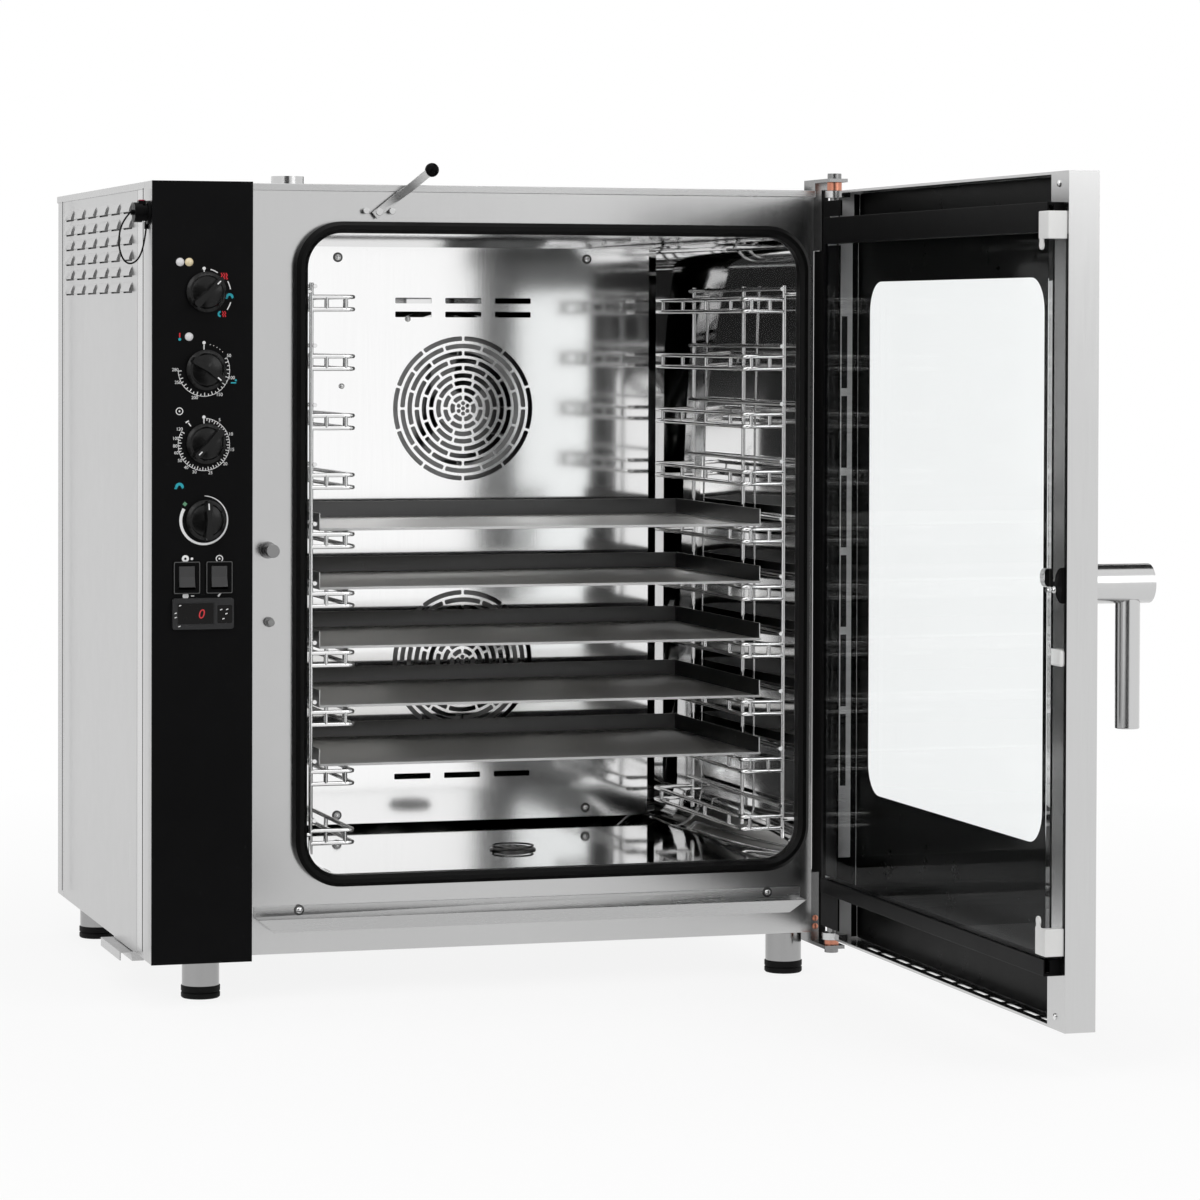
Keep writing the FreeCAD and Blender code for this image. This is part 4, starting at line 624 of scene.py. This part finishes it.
BALL_RADIUS = 8
low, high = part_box("lever_ball")
half_turn = [step * math.pi / 16 for step in range(17)]
ball = [(BALL_RADIUS * math.sin(turn), -BALL_RADIUS * math.cos(turn)) for turn in half_turn]
settle("lever_ball_turned", spun("lever_ball_turned", ball, (low + high) * 500, (0, 0, 1)), "vent_control",
       "satin_black", ["lever_ball"])
LAMPS = (("mode_lamp", -364, 823.5, "lens_white"), ("water_lamp", -353.9, 823.5, "lens_amber"),
         ("heat_lamp", -353.9, 741.3, "lens_white"))
for name, across, height, lens in LAMPS:
    mesh = spun(name, [(4.6, 0), (4.6, 0.9), *dome(4.2, 2.1, 0.9)], (across, -45, height), (0, -1, 0))
    settle(name, mesh, "oven", lens, ["indicator_lamps"])
FRONT, LEFT = (0, -1, 0), (-1, 0, 0)
WASHER = ((2.0, 0), (6.0, 0), (6.0, 0.6), (5.6, 0.9), (2.0, 0.9))
SCREW = ((3.6, 0), (3.6, 0.8), *dome(3.3, 1.4, 0.8))
PLACES = [(across, 405, height) for across, height in ((-79, 838), (239, 838), (-79, 154), (239, 154))]
PLACES += [(-218.5, 0, 97), (338.4, 0, 97)]
SCREWS = []
for n, (across, depth, height) in enumerate(PLACES):
    SCREWS += [(f"sheet_washer_{n}", WASHER, (across, depth, height), FRONT, "oven", "dark_metal"),
               (f"sheet_screw_{n}", SCREW, (across, depth - 0.9, height), FRONT, "oven", "bright_wire")]
SCREWS += [(f"baffle_pin_{n}", SCREW, (across, 405, height), FRONT, "oven", "turned_steel")
           for n, (across, height) in enumerate(((9.4, 762.8), (-74, 680.4)))]
SCREWS += [(f"hinge_bolt_{n}", SCREW, (398.6, 2, height), FRONT, "oven", "bush_copper")
           for n, height in enumerate((64.4, 54.9))]
SCREWS += [(f"stile_screw_{n}", SCREW, (405.5, -692, height), LEFT, "door", "bright_wire")
           for n, height in enumerate((899, 58))]
for name, profile, centre, axis, body, look in SCREWS:
    settle(name, spun(name, profile, centre, axis, 20), body, look)
print("ball,", len(LAMPS), "lamps and", len(SCREWS), "screws")


# %% [markdown]
# ## Flat shapes
# Print, pierced sheets and screens are flat outlines with holes. They could be cut with booleans, but a filled
# 2-D curve does it in one go: each outline inside another becomes a hole. The filled curve becomes a mesh and is
# then turned to the face that it lies on.

# %% Flat shapes
def filled(name, outlines, half):
    curve = bpy.data.curves.new(f"{name}_curve", "CURVE")
    curve.dimensions, curve.fill_mode, curve.extrude = "2D", "BOTH", half / 1000
    for outline in outlines:
        spline = curve.splines.new("POLY")
        spline.points.add(len(outline) - 1)
        for point, (across, height) in zip(spline.points, outline):
            point.co = (across / 1000, height / 1000, 0, 1)
        spline.use_cyclic_u = True
    return as_mesh(name, curve)


def facing_front(depth):
    return Matrix.Translation(mm(0, depth, 0)) @ Matrix.Rotation(math.pi / 2, 4, "X")


def facing_left(across):
    return Matrix(((0, 0, 1, across / 1000), (1, 0, 0, 0), (0, 1, 0, 0), (0, 0, 0, 1)))


def flat(name, outlines, look, body, place, half=0.06):
    mesh = filled(name, outlines, half)
    mesh.transform(place)
    return settle(name, mesh, body, look)


def rounded(low, high, radius, steps=8):
    (y0, z0), (y1, z1) = low, high
    corners = ((y1 - radius, z1 - radius, 0), (y1 - radius, z0 + radius, 90), (y0 + radius, z0 + radius, 180),
               (y0 + radius, z1 - radius, 270))
    turns = [(cy, cz, math.radians(start + 90 * n / steps)) for cy, cz, start in corners for n in range(steps + 1)]
    return [(cy + radius * math.sin(turn), cz + radius * math.cos(turn)) for cy, cz, turn in turns]


def spot(cx, cz, radius, sides=20):
    return [(cx + radius * math.sin(math.tau * n / sides), cz + radius * math.cos(math.tau * n / sides))
            for n in range(sides)]


def sector(cx, cz, inner, outer, start, end, taper=0.0):
    count = max(2, int(abs(end - start) / 4))
    turns = [math.radians(start + (end - start) * step / count) for step in range(count + 1)]
    reaches = [outer - (outer - inner) * (1 - taper * (1 - step / count)) for step in range(count + 1)]
    far = [(cx + outer * math.sin(turn), cz + outer * math.cos(turn)) for turn in turns]
    near = [(cx + reach * math.sin(turn), cz + reach * math.cos(turn)) for turn, reach in zip(turns, reaches)]
    return far + near[::-1]


def tick(cx, cz, turn, inner, outer, width):
    t = math.radians(turn)
    along, side = Vector((math.sin(t), math.cos(t))), Vector((math.cos(t), -math.sin(t))) * width / 2
    middle = Vector((cx, cz))
    return [tuple(middle + along * reach + side * way)
            for reach, way in ((inner, -1), (inner, 1), (outer, 1), (outer, -1))]


print("a spot has", len(spot(0, 0, 1)), "corners")


# %% [markdown]
# ## Pierced baffle
# The sheet in front of the fans is punched with rings of curved slots, so that air is drawn in all round. The CAD
# sheet has straight slots, which are cheaper to cut; here each slot follows its ring and has soft corners. The two
# side wings fold back to the chamber's rear corners.

# %% Pierced baffle
def curved_slot(cx, cz, radius, width, middle, sweep, corner=1.5, steps=6):
    half, quarter = width / 2, corner * 0.293
    start, end = middle - sweep / 2, middle + sweep / 2
    cap = [(half, corner), (half - quarter, quarter), (half - corner, 0), (corner - half, 0),
           (quarter - half, quarter), (-half, corner)]
    bow = math.degrees(corner / radius)
    outer = [(half, start + bow + (sweep - 2 * bow) * n / steps) for n in range(1, steps)]
    inner = [(-half, turn) for _, turn in outer[::-1]]
    right_end = [(lift, end - math.degrees(back / radius)) for lift, back in cap]
    left_end = [(lift, start + math.degrees(back / radius)) for lift, back in cap[::-1]]
    turns = [(radius + lift, math.radians(turn)) for lift, turn in outer + right_end + inner + left_end]
    return [(cx + reach * math.sin(turn), cz + reach * math.cos(turn)) for reach, turn in turns]


# Slots in each ring, from the middle outward, and whether a bridge stands at its top
RINGS = ((6, True), (8, True), (8, False), (10, False), (10, True), (10, False), (10, True), (10, False),
         (10, True))
SHEET_LEFT, SHEET_RIGHT, SHEET_LOW, SHEET_TOP, SHEET_FRONT = -160, 320, 143, 851, 405
WING_SPREAD, WING_BACK = 24, 450
FAN_ACROSS, FAN_HEIGHTS = 80, (652.7, 339.3)
HUB_HOLE, HUB_REACH = 2.6, 6.4
FIRST_RING, RING_STEP, SLOT_WIDTH, BRIDGE = 13.4, 9.1, 5.8, 2.8
VENT_ROWS, VENT_MIDDLES, VENT_HALF, VENT_RISE = (782, 765, 196), (16.5, 80, 143.5), 23, 7


def baffle_outlines():
    outlines = [[(SHEET_LEFT, SHEET_LOW), (SHEET_RIGHT, SHEET_LOW), (SHEET_RIGHT, SHEET_TOP),
                 (SHEET_LEFT, SHEET_TOP)]]
    for height in FAN_HEIGHTS:
        outlines.append(spot(FAN_ACROSS, height, HUB_HOLE, 12))
        outlines += [spot(FAN_ACROSS + HUB_REACH * math.sin(n * math.tau / 6),
                          height + HUB_REACH * math.cos(n * math.tau / 6), HUB_HOLE, 12) for n in range(6)]
        for ring, (count, bridge) in enumerate(RINGS):
            radius, pitch = FIRST_RING + RING_STEP * ring, 360 / count
            start, sweep = pitch / 2 if bridge else 0, pitch - math.degrees(BRIDGE / radius)
            outlines += [curved_slot(FAN_ACROSS, height, radius, SLOT_WIDTH, start + pitch * n, sweep)
                         for n in range(count)]
    for low in VENT_ROWS:
        outlines += [rounded((middle - VENT_HALF, low), (middle + VENT_HALF, low + VENT_RISE), 1.2, 4)
                     for middle in VENT_MIDDLES]
    return outlines


mesh = filled("fan_baffle_pierced", baffle_outlines(), 0.75)
mesh.transform(facing_front(SHEET_FRONT + 0.75))
bm = bmesh.new()
bm.from_mesh(mesh)
for near, way in ((SHEET_LEFT, -1), (SHEET_RIGHT, 1)):
    far = near + way * WING_SPREAD
    section = ((near, SHEET_FRONT), (far, WING_BACK), (far - way * 1.5, WING_BACK + 0.6),
               (near - way * 0.6, SHEET_FRONT + 1.5))
    wing = bm.faces.new([bm.verts.new(mm(across, depth, SHEET_LOW)) for across, depth in section])
    raised = bmesh.ops.extrude_face_region(bm, geom=[wing])["geom"]
    tops = [item for item in raised if isinstance(item, bmesh.types.BMVert)]
    bmesh.ops.translate(bm, vec=mm(0, 0, SHEET_TOP - SHEET_LOW), verts=tops)
bmesh.ops.recalc_face_normals(bm, faces=bm.faces)
bm.to_mesh(mesh)
bm.free()
settle("fan_baffle_pierced", mesh, "oven", "baffle_steel", ["fan_baffle"])
RIM_RADIUS, RIM_WIRE = 24, 1.1
around_wire = [n * math.tau / 10 for n in range(11)]
ring = [(RIM_RADIUS + RIM_WIRE * math.cos(turn), RIM_WIRE * math.sin(turn)) for turn in around_wire]
settle("strainer_ring", spun("strainer_ring", ring, (76, 160, 141), (0, 0, 1), 40), "oven", "dark_metal")
print("baffle", len(mesh.polygons), "faces")


# %% [markdown]
# ## Small sheets and blocks
# A few thin parts are only seen: a black sheet behind the louvres as painted shade for the casing's inside, the
# dark screen behind the door's slots, the black strips and seals down the hinge side, the seams of the casing and
# the red catch of the probe socket. They could be folded from sheets, but at this size each reads as a box with
# rounded edges, made by one bevel operator.

# %% Small sheets and blocks
def block(name, low, high, edge, look, body, slot):
    bm = bmesh.new()
    bmesh.ops.create_cube(bm, size=1)
    bmesh.ops.scale(bm, vec=mm(*high) - mm(*low), verts=bm.verts)
    bmesh.ops.translate(bm, vec=(mm(*low) + mm(*high)) / 2, verts=bm.verts)
    bmesh.ops.bevel(bm, geom=bm.edges[:], offset=edge / 1000, segments=3, profile=0.5, affect="EDGES", material=-1)
    mesh = bpy.data.meshes.new(f"{name}_mesh")
    bm.to_mesh(mesh)
    bm.free()
    smooth(mesh, 50)
    return settle(name, mesh, body, look)


BLOCKS = (
    # A black sheet behind the louvres: painted shade for the casing's inside
    ("louvre_painted_shade", (-391.6, 70, 780), (-391.0, 530, 910), 0.2, "seal_black", "oven", "black_plastic"),
    ("probe_catch", (-407.5, -33.0, 887.2), (-400.8, -26.5, 892.0), 0.8, "latch_red", "oven", "black_plastic"),
    ("hinge_column", (395.2, 2.2, 118.4), (413.2, 5.8, 842.6), 0.5, "seal_black", "oven", "black_plastic"),
    ("hinge_column_top", (403.2, 6.3, 842.4), (413.2, 9.9, 921), 0.5, "seal_black", "oven", "black_plastic"),
    ("hinge_column_low", (403.2, 6.3, 39.2), (413.2, 9.9, 118.6), 0.5, "seal_black", "oven", "black_plastic"),
    ("corner_seam", (-400.25, -17.9, 60), (-399.5, -17.1, 905), 0.1, "case_grey", "oven", "black_plastic"),
    ("rear_seam", (-400.25, 508.6, 60), (-399.5, 509.4, 905), 0.1, "case_grey", "oven", "black_plastic"),
    ("stile_seal_1", (404.9, -680.0, 119), (405.7, -671.8, 848), 0.2, "seal_black", "door", "seal_rubber"),
    ("stile_seal_2", (404.9, -715.6, 119), (405.7, -710.2, 848), 0.2, "seal_black", "door", "seal_rubber"),
    ("slot_screen", (410.5, -44.4, 215), (421.5, -43.9, 775), 0.2, "case_grey", "door", "black_plastic"),
    ("edge_seal", (425.5, -46.9, 48.5), (432.2, -46.1, 907.5), 0.3, "seal_black", "door", "seal_rubber"),
    ("edge_cover", (407.0, -46.9, 92), (426.0, -46.1, 140.5), 0.3, "seal_black", "door", "seal_rubber"),
)
for item in BLOCKS:
    block(*item)
BOLT, SWELL, BOLT_LENGTH = 2.4, 1.6, 15
collar = [(BOLT + SWELL * math.sin(n * math.pi / 6), 3 + n) for n in range(7)]
LATCH = ((0, 0), (BOLT, 0), (BOLT, 1.5), *collar, (BOLT, BOLT_LENGTH), (0, BOLT_LENGTH))
settle("latch_bolt", spun("latch_bolt", LATCH, (406, -698, 490), LEFT, 20), "door", "turned_steel")
print(len(BLOCKS), "blocks and a bolt")

# %% [markdown]
# ## Print on the control panel
# The black panel is printed with dial marks, plain numbers and small signs. Ink could be a texture, but thin
# flat shapes stay crisp at any distance. A dial's marks are laid out by a turn from the top and a reach from
# its centre.

# %% Dial marks
# The knobs' axis and the middle of the print lie 2 mm apart; then the heights of the four dials
KNOB, DIAL = -335, -337
MODE, HEAT, TIMER, STEAM = 788.6, 704.5, 622.4, 538.6
INK_DEPTH = -45.12
PANEL = facing_front(INK_DEPTH)


def around(centre, turn, reach):
    t = math.radians(turn)
    return DIAL + reach * math.sin(t), centre + reach * math.cos(t)


def number(name, text, across, height, size, look, depth=INK_DEPTH, slant=0.0):
    font = bpy.data.curves.new(f"{name}_text", "FONT")
    font.body, font.size, font.shear = text, size / 1000, slant
    font.align_x, font.align_y, font.extrude = "CENTER", "CENTER", 0.00006
    mesh = as_mesh(name, font)
    mesh.transform(Matrix.Translation(mm(across, depth, height)) @ Matrix.Rotation(math.pi / 2, 4, "X"))
    return settle(name, mesh, "oven", look)


arcs = [sector(DIAL, HEAT, 28.6, 29.2, 62, 268), sector(DIAL, TIMER, 28.6, 29.2, 5, 300),
        sector(DIAL, STEAM, 23.9, 27.4, 2, 300, 0.78)]
for start, end, reach in ((15, 33, 27.9), (62, 80, 30.0), (107, 124, 31.2)):
    arcs.append(sector(DIAL, MODE, reach - 0.6, reach + 0.6, start, end))
flat("dial_arcs", arcs, "ink_white", "oven", PANEL)
ticks = []
for centre, top in ((MODE, 28.0), (HEAT, 30.2), (TIMER, 30.2)):
    ticks += [spot(*around(centre, 0, top), 1.9), tick(DIAL, centre, 0, 22.5, top - 2.1, 1.3)]
ticks += [tick(DIAL, HEAT, 62 + 8.95 * n, 26.4 - n % 2 * 1.4, 28.5, 0.9) for n in range(24)]
ticks += [spot(*around(HEAT, turn, 29.0), 0.5, 10) for turn in (14, 22, 30, 38, 46)]
ticks += [tick(DIAL, TIMER, 7 + 6.5 * n, 26.4 - n % 2 * 1.4, 28.5, 0.9) for n in range(46)]
ticks += [tick(DIAL, TIMER, -36, 25.0, 29.6, 1.2), tick(DIAL - 18.6, TIMER + 25.2, 60, -2.2, 2.0, 1.4)]
clock = (-364.4, 659.1)
ticks += [spot(*clock, 4.2), spot(*clock, 3.3), spot(*clock, 1.0)]
flat("dial_ticks", ticks, "ink_white", "oven", PANEL)
HEAT_SCALE = ((60.4, 50), (105.4, 100), (147.4, 150), (198.9, 200), (244.8, 250), (270.5, 280))
TIME_SCALE = ((33, 5), (69.6, 10), (100.5, 15), (132, 20), (167, 25), (199.4, 30), (218, 40), (236.6, 50),
              (253.5, 60), (267, 80), (282, 100), (301.7, 120))
NUMBER_REACH, NUMBER_SIZE = 32.2, 5.0
for kind, centre, scale in (("heat", HEAT, HEAT_SCALE), ("minutes", TIMER, TIME_SCALE)):
    for turn, value in scale:
        number(f"{kind}_{value}", str(value), *around(centre, turn, NUMBER_REACH), NUMBER_SIZE, "ink_white")
print(len(arcs), "arcs,", len(ticks), "marks and", len(HEAT_SCALE) + len(TIME_SCALE), "numbers")


# %% [markdown]
# ## Signs in colour
# The signs stand for dry heat, steam, both, a clock and a thermometer. They are built from the same few shapes:
# wavy strokes for heat, an arch on two feet for steam, rings and dots.

# %% Signs in colour
def waves(cx, cz, size, count):
    strokes = []
    for n in range(count):
        middle = cx + (n - (count - 1) / 2) * size * 0.38
        path = [(middle + size * 0.09 * math.sin(step * 1.5), cz + size * (step / 8 - 0.5)) for step in range(9)]
        strokes.append([(x - size * 0.10, z) for x, z in path] + [(x + size * 0.10, z) for x, z in path[::-1]])
    return strokes


def arch(cx, cz, size):
    foot = cz - size * 0.34
    feet = [tick(cx + side * size * 0.46, foot, 90, -size * 0.16, size * 0.16, size * 0.18) for side in (-1, 1)]
    return [sector(cx, foot + size * 0.14, size * 0.20, size * 0.54, -100, 100), *feet]


both = (-316.4, 766.4)
thermometer = (-364.2, 741.4)
SIGNS = {
    "ink_red": waves(-314.4, 808.2, 7.2, 3) + waves(both[0] + 1.9, both[1], 6.4, 2)
    + [tick(*thermometer, 0, -1, 4, 1.4)],
    "ink_teal": arch(-308.3, 786.7, 8.0) + arch(-364.3, 577.3, 9.0)
    + [tick(*around(HEAT, 113, 36), 90, -3.0, 3.0, 1.4), spot(*around(HEAT, 107.5, 37.5), 1.2, 12)]
    + [sector(both[0] - 2.0, both[1], 1.4, 3.4, -180, 0), spot(thermometer[0], thermometer[1] - 3.0, 1.6)],
    "ink_green": [tick(-358.2, 556.8, 41, -1.9, 1.9, 3.8)],
}
for ink, outlines in SIGNS.items():
    flat(f"{ink}_signs", outlines, ink, "oven", PANEL)
switches = [spot(-357.6, 496.4, 4.0), spot(-357.6, 496.4, 1.4), spot(-350.3, 496.3, 1.5), spot(-357.3, 455.2, 3.4),
            tick(-349.5, 455.2, 90, -1.8, 1.8, 1.2), spot(-319.4, 496.0, 4.2), spot(-319.4, 496.0, 3.1),
            spot(-319.4, 496.0, 1.1), tick(-319.4, 456.2, 35, -2.4, 2.4, 2.0)]
flat("switch_signs", switches, "ink_white", "oven", PANEL)
rims = []
for middle in (-356.2, -319.8):
    rims += [rounded((middle - 14.6, 457.9), (middle + 14.6, 493.1), 1.5, 4),
             rounded((middle - 13.8, 458.7), (middle + 13.8, 492.3), 1.2, 4)]
flat("switch_rims", rims, "ink_grey", "oven", facing_front(-47.62))
POINTERS = (("mode_dial", 790.6, 45, 17), ("temperature_dial", 704.6, 132, 17), ("timer_dial", 623.4, 225, 17),
            ("steam_dial", 539.0, -3, 19))
for body, centre, turn, reach in POINTERS:
    flat(f"{body}_pointer", [tick(KNOB, centre, turn, 12.0, reach, 1.3)], "ink_white", body, facing_front(-68.6))
print(len(SIGNS), "inks and", len(POINTERS), "pointers")

# %% [markdown]
# ## Display
# The temperature controller shows one red digit behind a dark window, with small marks round it. The digit could
# be seven bars, but one slanted character reads the same at this size. It glows a little, so it gets an emission
# of its own.

# %% Display
flat("display_window", [rounded((-366.5, 424.5), (-327.0, 447.0), 1.5, 4)], "window_dark", "oven",
     facing_front(-48.9), 0.06)
flat("display_keys", [rounded((-322.5, 425), (-306, 445), 1.5, 4)], "window_dark", "oven", facing_front(-50.08), 0.06)
number("display_digit", "0", -340.8, 434.9, 14.5, "digit_red", -49.1, 0.2)
MARKS = ((-364.4, 445), (-369.3, 436.7), (-369.3, 432), (-365.1, 422.2), (-318.4, 440), (-311.7, 440.2),
         (-312.5, 435.4), (-315.9, 429.9))
flat("display_marks", [tick(across, height, 70, -1.3, 1.3, 1.0) for across, height in MARKS], "ink_white", "oven",
     facing_front(-50.16))
print(len(MARKS), "marks round the display")

# %% [markdown]
# ## Door glass
# The door is double glazed. The outer pane is printed black on its inner face except for a rounded window. The
# print could be a colour on the glass, but it is a layer of its own: a thin black sheet with the window cut
# out of it, laid against the pane.

# %% Door print
window = rounded((-596, 219), (-86, 806), 35)
flat("door_print", [rounded((-679.7, 48), (-48.2, 908), 4), window], "ink_black", "door", facing_left(432.25), 0.15)
print("window of", len(window), "points")

# %% [markdown]
# ## Colour view
# Colours are shown as they are written, with the Standard view.

# %% Colour view
bpy.context.scene.view_settings.view_transform = "Standard"
